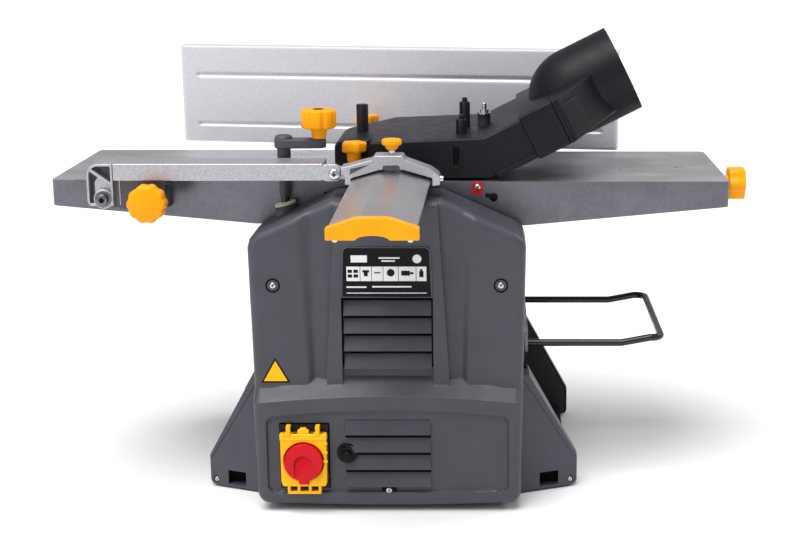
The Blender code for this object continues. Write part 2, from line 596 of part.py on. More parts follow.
# ---- fence --------------------------------------------------------------------------------------------------
def build_fence():
    along = (FENCE_RIGHT - FENCE_LEFT).normalized()
    back = Vector((-along.y, along.x))

    def plan(distance, depth):
        spot = FENCE_LEFT + along * distance + back * depth
        return (spot.x, spot.y)

    length = (FENCE_RIGHT - FENCE_LEFT).length
    # front face with two shallow grooves, and a box section behind
    section = [(0, FENCE_LOW), (0, 353), (2, 355), (2, 358), (0, 360), (0, 447), (2, 449),
               (2, 453), (0, 455), (0, FENCE_HIGH), (14, FENCE_HIGH), (14, 459), (5, 459),
               (5, 352), (14, 352), (14, FENCE_LOW)]
    sections = [[(*plan(d, depth), z) for depth, z in section] for d in (0, length)]
    fence = loft(sections)
    mid = length * 0.46
    notch = prism("Z", [plan(mid - 38, -5), plan(mid + 38, -5), plan(mid + 38, 20),
                        plan(mid - 38, 20)], 340, 352.5)
    lug = prism("Z", [plan(mid - 36, 4), plan(mid + 36, 4), plan(mid + 36, 12),
                      plan(mid - 36, 12)], 352, 380)
    cut(fence, notch)
    join(fence, lug)
    piece("fence", fence, "cast_silver", (*plan(mid, HINGE_DEPTH), HINGE_Z))

    # the hinge block turns on the carriage, and the fence leans back on the block
    block = prism("Z", [plan(mid - 32, 14.5), plan(mid + 32, 14.5), plan(mid + 32, 27),
                        plan(mid - 32, 27)], 350.3, HINGE_Z + 1)
    piece("fence_hinge", block, "black_steel", (*plan(mid, HINGE_DEPTH), 350))

    x, y = FENCE_STUD
    rear = plan(mid, 34)[1]
    carriage = box((x - 21, x + 43), (222, rear), (346, 350))
    cut(carriage, prism("Z", rounded((x - 4.6, x + 4.6), (y - 28, y + 24), 4.5), 340, 355))
    piece("fence_carriage", carriage, "cast_silver", (x, y, 348))

    bracket = join(box((x - 32, x + 45), (226, 254), (CASING_TOP + GAP, 345.7)),
                   rod("Z", x, y, 4, 340, 368, steps=16))
    piece("fence_bracket", bracket, "black_steel")
    knob = join(prism("Z", scalloped(x, y, 15, 5, 3), 372, 384),
                rod("Z", x, y, 8.5, 350.3, 373, steps=16))
    cut(knob, rod("Z", x, y, 4.3, 340, 369, steps=16))
    piece("fence_knob", knob, "yellow", (x, y, 376))


# ---- switch ---------------------------------------------------------------------------------------------------
LID_X, LID_Z = (-114.5, -64.5), (31.0, 90.0)
DISC_X, DISC_Z, DISC_R = -89.5, 59.0, 20.5
LID_LUG_X = (-105, -74)
START_Z, STOP_Z = 78, 52


def build_switch():
    housing = box((-114.5, -63.5), (-97.5, -58), (27, 98))
    cut(housing, box((-111, -67), (-105, -84), (34, 88)))
    for x in LID_LUG_X:
        join(housing, box((x - 3, x + 3), (-103.5, -90), (91, 97)))
    for z in (START_Z, STOP_Z):
        cut(housing, prism("Y", rounded((-98.4, -80.6), (z - 7.4, z + 7.4), 2), -90, -80))
    piece("switch_box", housing, "black_plastic")
    lid = prism("Y", rounded(LID_X, LID_Z, 5), -104, -97.8)
    cut(lid, rod("Y", DISC_X, DISC_Z, DISC_R + 0.6, -110, -90))
    for x in LID_LUG_X:
        cut(lid, box((x - 3.5, x + 3.5), (-110, -90), (85.5, 95)))
    join(lid, box((DISC_X - 17, DISC_X + 17), (-104, -99), (23, 33)))
    piece("switch_lid", lid, "yellow", (DISC_X, -101, 93))
    paddle = turned("Y", DISC_X, DISC_Z, ((-108, 17), (-106.5, DISC_R), (-99, DISC_R),
                                          (-98.9, 4), (-93.5, 4)), steps=32)
    piece("stop_paddle", paddle, "red", (DISC_X, -104, DISC_Z))
    for name, z, paint in (("start_button", START_Z, "green"), ("stop_button", STOP_Z, "red")):
        button = prism("Y", rounded((-98, -81), (z - 7, z + 7), 2), -89, -84 - GAP)
        piece(name, button, paint, (DISC_X, -86, z))
    reset = turned("Y", RESET_X, RESET_Z, ((-104, 4.5), (-103, 5.5), (-100, 5.5), (-80, 5.5)),
                   steps=20)
    piece("reset_button", reset, "black_plastic", (RESET_X, -100, RESET_Z))


for old in list(bpy.data.objects):
    bpy.data.objects.remove(old)

build_frame()
build_casing()
build_feet()
build_tables()
build_drive()
build_bed()
build_crank()
build_guard()
build_hood()
build_fence()
build_switch()
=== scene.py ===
"""Looks of the thickness planer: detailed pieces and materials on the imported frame.

Lengths are in millimetres in the machine's own axes (X along the tables, Y = 0 at
their front edge, Z from the floor) and are turned into the frame's metres by place().
"""
import json
import math

import bmesh
import bpy
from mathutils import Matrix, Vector


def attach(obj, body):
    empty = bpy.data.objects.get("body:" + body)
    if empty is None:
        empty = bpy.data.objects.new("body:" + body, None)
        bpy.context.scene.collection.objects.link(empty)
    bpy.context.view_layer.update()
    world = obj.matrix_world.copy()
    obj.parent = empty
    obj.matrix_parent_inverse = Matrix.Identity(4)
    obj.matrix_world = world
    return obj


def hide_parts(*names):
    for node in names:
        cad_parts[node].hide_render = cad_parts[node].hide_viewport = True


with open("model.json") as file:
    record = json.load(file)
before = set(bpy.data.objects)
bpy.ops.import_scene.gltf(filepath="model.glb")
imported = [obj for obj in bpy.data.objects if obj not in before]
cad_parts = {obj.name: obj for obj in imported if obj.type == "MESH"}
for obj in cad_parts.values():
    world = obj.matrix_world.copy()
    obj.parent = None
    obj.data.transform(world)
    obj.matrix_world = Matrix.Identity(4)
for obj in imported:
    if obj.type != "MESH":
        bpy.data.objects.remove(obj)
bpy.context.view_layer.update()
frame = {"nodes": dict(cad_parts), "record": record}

SHIFT = Vector((-17.0, -33.0, 0.0))     # machine axes to the frame's

# ---- driving dimensions (as in the CAD) ------------------------------------------------
FACE_Y, PILLAR_Y, FLUTE_Y, POCKET_Y = -82.5, -84.5, -78.0, -76.0
SKIRT_Y, BACK_Y = -98.0, -6.0
CASING_TOP = [(-146, 285), (-143.5, 294), (-136, 300.5), (-57, 336),
              (57, 336), (136, 300.5), (143.5, 294), (146, 285)]
LOUVRE_PITCH, SLAT = 19.4, 15.2
UPPER_LOUVRES, LOWER_LOUVRES = 155.5, 28.5
POCKET_HALF, SLATS_HALF = 48.2, 46.5    # half widths of the pillar's pocket and its slats
LOWER_SLATS_X = (-45.8, 45.2)
SWITCH_X, SWITCH_Z = (-115.6, -62.6), (26, 99)  # opening for the switch
FACE_RADIUS = 9.0                       # rounding of the casing's front edge
DUCT_ANGLE = math.radians(26.6)
DUCT_START = (139.2, 383.7)
PIPE_R, PIPE_Y, PIPE_LIFT, PIPE_END = 50.0, 107.0, 10.0, 139.0
FENCE_LEFT, FENCE_RIGHT = Vector((-285.0, 308.0)), Vector((264.0, 225.0))
FENCE_LOW, FENCE_HIGH = 341.5, 464.0
CRANK_X, CRANK_Y = -113.0, -12.0
PIVOT_X, STUD_X = -295.5, -245.5        # guard arm's hinge and its clamp knob
HEAD_RIGHT = -285.0
CLAMP_X, CLAMP_Y = 5.5, -53.5             # blade clamp's knob


# ---- materials -------------------------------------------------------------------------
class Paint:
    """A Principled material whose inputs are fed by procedural textures."""

    def __init__(self, name, colour, rough, metal=0.0, **sockets):
        self.material = bpy.data.materials.new(name)
        self.material.use_nodes = True
        self.nodes = self.material.node_tree.nodes
        self.links = self.material.node_tree.links
        self.shader = self.nodes["Principled BSDF"]
        self.colour, self.rough = colour, rough
        self.shader.inputs["Base Color"].default_value = (*colour, 1.0)
        self.shader.inputs["Roughness"].default_value = rough
        self.shader.inputs["Metallic"].default_value = metal
        for socket, value in sockets.items():
            self.shader.inputs[socket.replace("_", " ")].default_value = value
        self.coords = self.nodes.new("ShaderNodeTexCoord")
        self.normal = None

    def noise(self, scale, detail=3.0, stretch=(1, 1, 1), rough=0.55):
        mapping = self.nodes.new("ShaderNodeMapping")
        mapping.inputs["Scale"].default_value = stretch
        self.links.new(self.coords.outputs["Object"], mapping.inputs["Vector"])
        noise = self.nodes.new("ShaderNodeTexNoise")
        noise.inputs["Scale"].default_value = scale
        noise.inputs["Detail"].default_value = detail
        noise.inputs["Roughness"].default_value = rough
        self.links.new(mapping.outputs["Vector"], noise.inputs["Vector"])
        return noise.outputs["Fac"]

    def span(self, factor, low, high, start=0.3, end=0.7):
        ramp = self.nodes.new("ShaderNodeMapRange")
        ramp.inputs["From Min"].default_value = start
        ramp.inputs["From Max"].default_value = end
        ramp.inputs["To Min"].default_value = low
        ramp.inputs["To Max"].default_value = high
        self.links.new(factor, ramp.inputs["Value"])
        return ramp.outputs["Result"]

    def mottle(self, factor, amount, start=0.3, end=0.7):
        """Vary the base colour's brightness by +-amount."""
        ramp = self.nodes.new("ShaderNodeValToRGB")
        ramp.color_ramp.elements[0].position = start
        ramp.color_ramp.elements[1].position = end
        ramp.color_ramp.elements[0].color = (*[c * (1 - amount) for c in self.colour], 1)
        ramp.color_ramp.elements[1].color = (*[min(1, c * (1 + amount)) for c in self.colour], 1)
        self.links.new(factor, ramp.inputs["Fac"])
        self.links.new(ramp.outputs["Color"], self.shader.inputs["Base Color"])
        return self

    def gloss(self, factor, spread, start=0.3, end=0.7):
        result = self.span(factor, self.rough - spread, self.rough + spread, start, end)
        self.links.new(result, self.shader.inputs["Roughness"])
        return self

    def bump(self, factor, height_mm, strength=1.0):
        bump = self.nodes.new("ShaderNodeBump")
        bump.inputs["Strength"].default_value = strength
        bump.inputs["Distance"].default_value = height_mm * 0.001
        self.links.new(factor, bump.inputs["Height"])
        if self.normal:
            self.links.new(self.normal, bump.inputs["Normal"])
        self.normal = bump.outputs["Normal"]
        self.links.new(self.normal, self.shader.inputs["Normal"])
        return self


def moulded(name, colour, rough, grain=900.0, height=0.05, shine=0.5):
    """Spark-eroded moulded plastic: fine grain, faint cloudy colour, small gloss changes."""
    p = Paint(name, colour, rough, Specular_IOR_Level=shine)
    p.mottle(p.noise(28, 4), 0.09)
    p.gloss(p.noise(60, 3), 0.05)
    p.bump(p.noise(grain, 2), height)
    return p.material


def glossy(name, colour, rough=0.28, shine=0.35):
    """Smooth injection-moulded plastic with a faint orange peel."""
    p = Paint(name, colour, rough, Specular_IOR_Level=shine)
    p.mottle(p.noise(35, 3), 0.05)
    p.gloss(p.noise(90, 3), 0.06)
    p.bump(p.noise(260, 2), 0.02)
    return p.material


def machined(name, colour, rough, stretch, metal=1.0):
    """Planed aluminium: long fine tool lines with cloudy patches."""
    p = Paint(name, colour, rough, metal)
    p.mottle(p.noise(14, 3), 0.06)
    p.gloss(p.noise(22, 3, (1, 0.3, 1)), 0.05)
    p.bump(p.noise(700, 2, stretch), 0.008)
    return p.material


def milled_casting(name, top, side):
    """Table casting: its top planed bright; faces that do not point up get a much darker colour,
    which is painted shade on the sides.
    """
    p = Paint(name, top, 0.34, 0.9)
    where = p.nodes.new("ShaderNodeNewGeometry")
    split = p.nodes.new("ShaderNodeSeparateXYZ")
    p.links.new(where.outputs["Normal"], split.inputs["Vector"])
    # Faces not pointing up are mixed toward the dark side colour: painted shade.
    up = p.span(split.outputs["Z"], 0.0, 1.0, 0.9, 0.97)
    patches = p.span(p.noise(11, 6, (1, 2.2, 1), 0.65), 0.82, 1.16)
    grains = p.span(p.noise(260, 3), 0.93, 1.07)
    shade = p.nodes.new("ShaderNodeMath")
    shade.operation = "MULTIPLY"
    p.links.new(patches, shade.inputs[0])
    p.links.new(grains, shade.inputs[1])
    shaded_sides_mix = p.nodes.new("ShaderNodeMix")
    shaded_sides_mix.data_type = "RGBA"
    shaded_sides_mix.inputs["A"].default_value = (*side, 1)
    shaded_sides_mix.inputs["B"].default_value = (*top, 1)
    p.links.new(up, shaded_sides_mix.inputs["Factor"])
    scale = p.nodes.new("ShaderNodeVectorMath")
    scale.operation = "SCALE"
    p.links.new(shaded_sides_mix.outputs["Result"], scale.inputs[0])
    p.links.new(shade.outputs["Value"], scale.inputs["Scale"])
    p.links.new(scale.outputs["Vector"], p.shader.inputs["Base Color"])
    p.gloss(p.noise(16, 5, (1, 1.6, 1)), 0.12)
    p.bump(p.noise(700, 2, (1, 0.05, 1)), 0.015)
    p.bump(p.noise(500, 3), 0.05)
    return p.material


def cast(name, colour, rough, metal=0.75, grain=1100.0, height=0.09, speckle=0.2):
    """Sand-blasted cast or pressed metal: bright and dark specks."""
    p = Paint(name, colour, rough, metal)
    p.mottle(p.noise(grain * 0.6, 3), speckle)
    p.gloss(p.noise(40, 3), 0.06)
    p.bump(p.noise(grain, 2), height)
    return p.material


def steel(name, colour, rough, stretch=(1, 1, 1)):
    p = Paint(name, colour, rough, 1.0)
    p.mottle(p.noise(120, 3), 0.08)
    p.gloss(p.noise(400, 2, stretch), 0.07)
    p.bump(p.noise(900, 2, stretch), 0.01)
    return p.material


CASING_GREY = moulded("casing_grey", (0.049, 0.050, 0.064), 0.46, shine=0.42)
FOOT_GREY = moulded("foot_grey", (0.056, 0.058, 0.074), 0.48, shine=0.4)
# Black plastic; on the rear foot covers it is painted shade over their grey.
BLACK_PLASTIC_AND_SHADE = moulded("black_plastic", (0.0055, 0.0052, 0.0090), 0.46, 700, 0.04, 0.22)
# Near-black that paints the shade inside holes, wells, slots and recesses, and prints the feed
# arrow.
PAINTED_SHADE_AND_PRINT = moulded("painted_shade_and_print_black", (0.003, 0.003, 0.003), 0.7, shine=0.1)
YELLOW = glossy("knob_yellow", (0.93, 0.35, 0.0), 0.34, 0.2)
SWITCH_YELLOW = glossy("switch_yellow", (0.93, 0.46, 0.002), 0.36, 0.2)
RED = glossy("button_red", (0.54, 0.003, 0.012), 0.34, 0.2)
GREEN = glossy("button_green", (0.02, 0.25, 0.05), 0.3)
# The second, much darker colour is the sides' painted shade.
TABLE = milled_casting("table_aluminium", (0.56, 0.545, 0.575), (0.155, 0.152, 0.175))
BLADE = machined("blade_aluminium", (0.70, 0.68, 0.70), 0.33, (1, 0.04, 1))
# Darker copy of the cast: the slot plate's own colour, and painted shade in the arm's pocket and
# the clamp's openings.
DARK_CAST_AND_PAINTED_SHADE = cast("dark_cast_and_painted_shade", (0.10, 0.095, 0.10), 0.5)
CAST = cast("cast_silver", (0.46, 0.46, 0.50), 0.42)
FENCE = cast("fence_silver", (0.66, 0.65, 0.69), 0.5, 0.45, 900, 0.06, 0.08)
DULL_STEEL = steel("dull_steel", (0.17, 0.17, 0.19), 0.36)
BRIGHT = steel("bright_steel", (0.62, 0.62, 0.62), 0.24)
BLACK_STEEL = cast("black_steel", (0.018, 0.018, 0.020), 0.42, 0.2, 500, 0.03, 0.15)
WIRE_BLACK = cast("black_rod", (0.012, 0.012, 0.013), 0.25, 0.1, 300, 0.01, 0.15)
RUBBER = moulded("rubber_black", (0.016, 0.016, 0.016), 0.75, 500, 0.06)
CREAM = moulded("cream_nylon", (0.55, 0.52, 0.38), 0.45, 500, 0.02)
BRASS = steel("turned_brass", (0.70, 0.48, 0.17), 0.3)
PLATE_BLACK = glossy("label_black", (0.002, 0.002, 0.0025), 0.3, 0.15)
PLATE_WHITE = glossy("label_white", (0.72, 0.72, 0.73), 0.4)


# ---- mesh helpers ----------------------------------------------------------------------
def place(x, y, z):
    """A machine point in the frame's metres."""
    return ((x + SHIFT.x) * 0.001, (y + SHIFT.y) * 0.001, z * 0.001)


def point(axis, u, v, w):
    if axis == "X":
        return (w, u, v)
    if axis == "Y":
        return (u, w, v)
    return (u, v, w)


def finish_mesh(name, bm, material, rides, node=None, bevel=0.0, segments=3, smooth=38, tidy=True):
    """Turn a bmesh in machine millimetres into a riding piece with its material."""
    for vert in bm.verts:
        vert.co = place(*vert.co)
    if tidy:
        bmesh.ops.recalc_face_normals(bm, faces=bm.faces)
    mesh = bpy.data.meshes.new(name)
    bm.to_mesh(mesh)
    bm.free()
    mesh.shade_smooth()
    mesh.set_sharp_from_angle(angle=math.radians(smooth))
    obj = bpy.data.objects.new(name, mesh)
    bpy.context.scene.collection.objects.link(obj)
    mesh.materials.append(material)
    if bevel:
        soften(obj, bevel, segments)
    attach(obj, rides)
    if node:
        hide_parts(node)
    return obj


def soften(obj, width_mm, segments=2, angle=32):
    """Round an object's edges, as moulded and cast edges are."""
    bevel = obj.modifiers.new("soft edges", "BEVEL")
    bevel.width = width_mm * 0.001
    bevel.segments = segments
    bevel.limit_method = "ANGLE"
    bevel.angle_limit = math.radians(angle)
    bevel.harden_normals = True
    bevel.miter_outer = "MITER_ARC"


def add_loft(bm, sections, caps=True):
    rings = [[bm.verts.new(p) for p in ring] for ring in sections]
    count = len(rings[0])
    for first, second in zip(rings, rings[1:]):
        for i in range(count):
            j = (i + 1) % count
            bm.faces.new((first[i], first[j], second[j], second[i]))
    if caps:
        bm.faces.new(rings[0])
        bm.faces.new(list(reversed(rings[-1])))
    return bm


def add_prism(bm, axis, outline, low, high):
    return add_loft(bm, [[point(axis, u, v, w) for u, v in outline] for w in (low, high)])


def add_box(bm, xs, ys, zs):
    outline = [(xs[0], ys[0]), (xs[1], ys[0]), (xs[1], ys[1]), (xs[0], ys[1])]
    return add_prism(bm, "Z", outline, *zs)


def ring(cu, cv, radius, steps=40):
    return [(cu + radius * math.cos(2 * math.pi * i / steps),
             cv + radius * math.sin(2 * math.pi * i / steps)) for i in range(steps)]


def add_turned(bm, axis, cu, cv, stations, steps=40):
    """Round body from (place, radius) stations along the axis."""
    return add_loft(bm, [[point(axis, u, v, w) for u, v in ring(cu, cv, max(r, 0.02), steps)]
                         for w, r in stations])


def rounded(us, vs, radius, steps=6):
    corners = [(us[1] - radius, vs[1] - radius, 0), (us[0] + radius, vs[1] - radius, 90),
               (us[0] + radius, vs[0] + radius, 180), (us[1] - radius, vs[0] + radius, 270)]
    outline = []
    for cu, cv, start in corners:
        for i in range(steps + 1):
            angle = math.radians(start + 90 * i / steps)
            outline.append((cu + radius * math.cos(angle), cv + radius * math.sin(angle)))
    return outline


def scalloped(cu, cv, radius, lobes, depth, per_lobe=14, sharp=1.0):
    """Knob outline: broad lobes parted by hollows."""
    count = lobes * per_lobe
    outline = []
    for i in range(count):
        angle = 2 * math.pi * i / count
        hollow = (0.5 - 0.5 * math.cos(lobes * angle)) ** sharp
        reach = radius - depth * hollow
        outline.append((cu + reach * math.cos(angle), cv + reach * math.sin(angle)))
    return outline


def shrink(outline, centre, factor):
    return [(centre[0] + (u - centre[0]) * factor, centre[1] + (v - centre[1]) * factor)
            for u, v in outline]


def add_star(bm, axis, cu, cv, radius, lobes, depth, low, high, sharp=1.0, edge=1.6):
    """Star knob head with rounded rims."""
    outline = scalloped(cu, cv, radius, lobes, depth, sharp=sharp)
    lip = edge / radius
    sign = 1 if high > low else -1
    steps = [(low, 1 - lip), (low + sign * edge * 0.35, 1 - lip * 0.35), (low + sign * edge, 1),
             (high - sign * edge, 1), (high - sign * edge * 0.35, 1 - lip * 0.35),
             (high, 1 - lip)]
    sections = [[point(axis, u, v, w) for u, v in shrink(outline, (cu, cv), f)]
                for w, f in steps]
    return add_loft(bm, sections)


def piece(name, material, rides, node=None, bevel=0.0, segments=3, smooth=38):
    """Decorator-free shorthand: returns a builder that ends in finish_mesh."""
    bm = bmesh.new()

    def done():
        return finish_mesh(name, bm, material, rides, node, bevel, segments, smooth)
    return bm, done


def rides_of(node):
    for body, nodes in frame["record"]["behaviour"]["bodies"].items():
        if node in nodes:
            return body
    return None


def screw_head(name, x, z, y, radius, rides, facing=-1, recess=True):
    """Domed head with a cross recess, looking along Y."""
    bm, done = piece(name, BRIGHT, rides, smooth=50)
    tip = y + facing * radius * 0.55
    add_turned(bm, "Y", x, z, ((y, radius), (y + facing * radius * 0.2, radius),
                               (y + facing * radius * 0.42, radius * 0.82),
                               (tip, radius * 0.45)), 28)
    done()
    # The recess is not cut: a near-black cross set on the head paints its shade.
    if recess:
        bm, done = piece(name + "_cross_shade", PAINTED_SHADE_AND_PRINT, rides)
        for wide, tall in ((0.42, 0.12), (0.12, 0.42)):
            add_box(bm, (x - radius * wide, x + radius * wide),
                    sorted((tip + facing * 0.12, tip - facing * 0.5)),
                    (z - radius * tall, z + radius * tall))
        done()


# ---- casing ----------------------------------------------------------------------------
def casing_outline():
    """The casing from the front, clockwise from bottom left, its lower corners rounded."""
    radius, low = 13.0, 7.5
    corner = [(-141.2 + radius - radius * math.sin(a), low + radius - radius * math.cos(a))
              for a in [math.radians(90 * i / 6) for i in range(7)]]
    belly = [(x, low - 2.5 * (1 - (x / 128) ** 2)) for x in (100, 65, 32, 0, -32, -65, -100)]
    return corner + CASING_TOP + [(-x, z) for x, z in reversed(corner)] + belly


CASING = casing_outline()


def smoothstep(value, low, high):
    t = min(1.0, max(0.0, (value - low) / (high - low)))
    return t * t * (3 - 2 * t)


def edge_distance(x, z, outline):
    """Distance inside a convex outline given clockwise from bottom left."""
    least = 1e9
    for (ax, az), (bx, bz) in zip(outline, outline[1:] + outline[:1]):
        length = math.hypot(bx - ax, bz - az)
        least = min(least, ((bx - ax) * (az - z) - (ax - x) * (bz - az)) / length)
    return -least if least < 0 else least


def inside_rounded(x, z, xs, zs, radius):
    """Signed distance into a rounded rectangle, positive inside."""
    dx = abs(x - (xs[0] + xs[1]) / 2) - ((xs[1] - xs[0]) / 2 - radius)
    dz = abs(z - (zs[0] + zs[1]) / 2) - ((zs[1] - zs[0]) / 2 - radius)
    outer = math.hypot(max(dx, 0), max(dz, 0)) + min(max(dx, dz), 0)
    return radius - outer


def louvre_depth(z, low, proud, sunk, gap):
    """Depth of one bank of slats at height z: sloped slats parted by dark gaps."""
    step = (z - low) / LOUVRE_PITCH
    part = (step - math.floor(step)) * LOUVRE_PITCH
    if part < SLAT:
        return proud + (sunk - proud) * part / SLAT
    return gap


def seams(z):
    """Distances from the middle where the upper face changes: pocket, pillar, flute, shoulder."""
    rise = max(0.0, (z - 150) / 175)
    pillar = 65.0 - 11.0 * rise
    flute = 77.0 + 2.0 * rise
    return POCKET_HALF, pillar, flute, flute + 9 + 7 * rise


def ledge_edge(x):
    return 129 - 7.5 * (x / 140) ** 2


def panel_top(x):
    return 113.5 - 6.5 * (x / 125) ** 2


def casing_depth(x, z):
    """The casing's front surface: Y at (x, z), before its outer edges are rounded."""
    side = abs(x)
    _, pillar, flute, shoulder = seams(z)
    if side <= pillar + 0.01:
        upper = PILLAR_Y
    elif side < flute:
        upper = FLUTE_Y + 1.6 * smoothstep(side, pillar, flute)
    else:
        upper = FLUTE_Y + 1.6 + (FACE_Y - FLUTE_Y - 1.6) * smoothstep(side, flute, shoulder)
    if side < POCKET_HALF and z < 234:
        upper = POCKET_Y
        if UPPER_LOUVRES <= z < UPPER_LOUVRES + 4 * LOUVRE_PITCH and side < SLATS_HALF:
            upper = louvre_depth(z, UPPER_LOUVRES, -84.4, -77.5, -64)
        elif z >= UPPER_LOUVRES:
            upper = -66
    edge = ledge_edge(x)
    if z > edge:
        slope = SKIRT_Y + (z - edge) / 0.75
        return slope if slope < upper else upper
    panel = inside_rounded(x, z * 107.0 / panel_top(x), (-129, 128), (21, 107), 9)
    depth = SKIRT_Y + 3.4 * smoothstep(panel, 0, 0.7)
    if z < panel_top(x) - 0.1 and side < 118 and z > 60:
        depth = SKIRT_Y + 3.4
    in_slats = LOWER_SLATS_X[0] < x < LOWER_SLATS_X[1]
    if in_slats and LOWER_LOUVRES <= z < LOWER_LOUVRES + 4 * LOUVRE_PITCH - 4:
        depth = louvre_depth(z, LOWER_LOUVRES, -99.6, -94.2, -84)
    if SWITCH_X[0] < x < SWITCH_X[1] and SWITCH_Z[0] < z < SWITCH_Z[1]:
        depth = -66
    return depth


def bend_rows(x, z):
    """Move a row of the grid onto the panel's arched top and the ledge's arched edge."""
    levels = (103.0, 113.5, 129.0, 150.0)
    targets = (103.0, panel_top(x), ledge_edge(x), 150.0)
    for i in range(3):
        if levels[i] <= z <= levels[i + 1]:
            t = (z - levels[i]) / (levels[i + 1] - levels[i])
            return targets[i] + t * (targets[i + 1] - targets[i])
    return z


def bend_columns(x, z):
    """Move a column of the grid onto the leaning edges of the pillars and flutes."""
    straight, leaning = seams(0), seams(z)
    side = abs(x)
    straight, leaning = (*straight, 150.0), (*leaning, 150.0)
    for i in range(4):
        if straight[i] <= side <= straight[i + 1]:
            t = (side - straight[i]) / (straight[i + 1] - straight[i])
            return math.copysign(leaning[i] + t * (leaning[i + 1] - leaning[i]), x)
    return x


def stations(low, high, step, marks):
    """Even stations with close pairs at the marks, where the surface steps."""
    count = round((high - low) / step)
    values = {round(low + (high - low) * i / count, 3) for i in range(count + 1)}
    for mark in marks:
        values = {v for v in values if abs(v - mark) > 0.6 or v in (low, high)}
        values |= {round(mark - 0.12, 3), round(mark + 0.12, 3)}
    return sorted(values)


def build_casing():
    slat_marks = []
    for low in (UPPER_LOUVRES, LOWER_LOUVRES):
        slat_marks += [low + i * LOUVRE_PITCH for i in range(5)]
        slat_marks += [low + i * LOUVRE_PITCH + SLAT for i in range(4)]
    seam_marks = [side * seam for side in (-1, 1) for seam in seams(0)[1:3]]
    xs = stations(-147, 147, 1.25, [*SWITCH_X, -POCKET_HALF, -SLATS_HALF, *LOWER_SLATS_X,
                                    SLATS_HALF, POCKET_HALF] + seam_marks)
    zs = stations(5, 337, 1.3, slat_marks + [21.5, *SWITCH_Z, 113.5, 129, 234])
    bm = bmesh.new()
    grid = []
    for z in zs:
        row = []
        for x in xs:
            lean = bend_columns(x, z)
            row.append(bm.verts.new((lean, 0, bend_rows(lean, z))))
        grid.append(row)
    for low, high in zip(grid, grid[1:]):
        for i in range(len(xs) - 1):
            bm.faces.new((low[i], low[i + 1], high[i + 1], high[i]))
    for (ax, az), (bx, bz) in zip(CASING, CASING[1:] + CASING[:1]):
        outward = Vector((-(bz - az), 0, bx - ax))
        bmesh.ops.bisect_plane(bm, geom=bm.verts[:] + bm.edges[:] + bm.faces[:], dist=1e-4,
                               plane_co=(ax, 0, az), plane_no=outward, clear_outer=True)
    for vert in bm.verts:
        x, z = vert.co.x, vert.co.z
        vert.co.y = casing_depth(x, z)
        inward = edge_distance(x, z, CASING)
        if inward < FACE_RADIUS:
            fall = FACE_RADIUS - inward
            vert.co.y += FACE_RADIUS - math.sqrt(max(0.0, FACE_RADIUS ** 2 - fall ** 2))
    rim = [e for e in bm.edges if e.is_boundary]
    walls = bmesh.ops.extrude_edge_only(bm, edges=rim)
    for item in walls["geom"]:
        if isinstance(item, bmesh.types.BMVert):
            item.co.y = BACK_Y
    finish_mesh("front_casing", bm, CASING_GREY, "body", "front_cover", smooth=30)

    # boss under the crank, screws in near-black dishes that paint the shade of their recesses,
    # warning triangle and sticker
    bm, done = piece("crank_boss", CASING_GREY, "body", bevel=1.0)
    add_loft(bm, [leaning_ring(9.5, 296), leaning_ring(11.5, 316), leaning_ring(10.6, 318.6)])
    done()
    bm, done = piece("crank_seat", CREAM, "body", "crank_washer", bevel=0.7)
    add_loft(bm, [leaning_ring(11.4, 318.8), leaning_ring(11.4, 321.6), leaning_ring(7.4, 322.4)])
    done()
    for name, x, z, y in (("left", -119.5, 246, FACE_Y), ("right", 119.5, 246, FACE_Y),
                          ("bottom", 0, 24, SKIRT_Y + 1.5)):
        # Near-black disc proud of the face: painted shade of the screw's recess.
        bm, done = piece("screw_dish_shade_" + name, PAINTED_SHADE_AND_PRINT, "body", smooth=25)
        add_turned(bm, "Y", x, z, ((y + 2, 7.6), (y - 0.5, 7.6), (y - 0.45, 6.9), (y + 0.3, 5.2)),
                   36)
        done()
        screw_head("screw_" + name, x, z, y + 0.2, 3.4, "body")
    bm, done = piece("sticker", SWITCH_YELLOW, "body")
    add_box(bm, (-50, -43), (PILLAR_Y - 0.35, PILLAR_Y - 0.05), (312, 318))
    done()
    for name, size, material, lift in (("border", 15.5, PLATE_BLACK, 0.3),
                                       ("field", 12.6, SWITCH_YELLOW, 0.5)):
        bm, done = piece("triangle_" + name, material, "body")
        tall = size * 1.76
        low = 140 + (15.5 - size) * 0.6
        add_prism(bm, "Y", [(-119.5 - size, low), (-119.5 + size, low), (-119.5, low + tall)],
                  FACE_Y - lift, FACE_Y + 0.5)
        done()
    bm, done = piece("mould_mark", CASING_GREY, "body", smooth=60)
    outer = [point("Y", u, v, SKIRT_Y - 0.1) for u, v in ring(-5, 122.5, 5.2)]
    inner = [point("Y", u, v, SKIRT_Y - 0.1) for u, v in ring(-5, 122.5, 4.7)]
    add_loft(bm, [[(x, y + 0.2, z) for x, y, z in outer], outer, inner,
                  [(x, y + 0.2, z) for x, y, z in inner]], caps=False)
    done()

    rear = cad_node("rear_cover")
    repaint(rear, CASING_GREY)
    soften(rear, 2.0, 3)


def leaning_ring(radius, height):
    """Ring round the crank shaft, leaning with the shoulder of the casing."""
    lean = math.tan(math.radians(13))
    return [(u, v, height + (u - CRANK_X) * lean) for u, v in ring(CRANK_X, CRANK_Y, radius)]


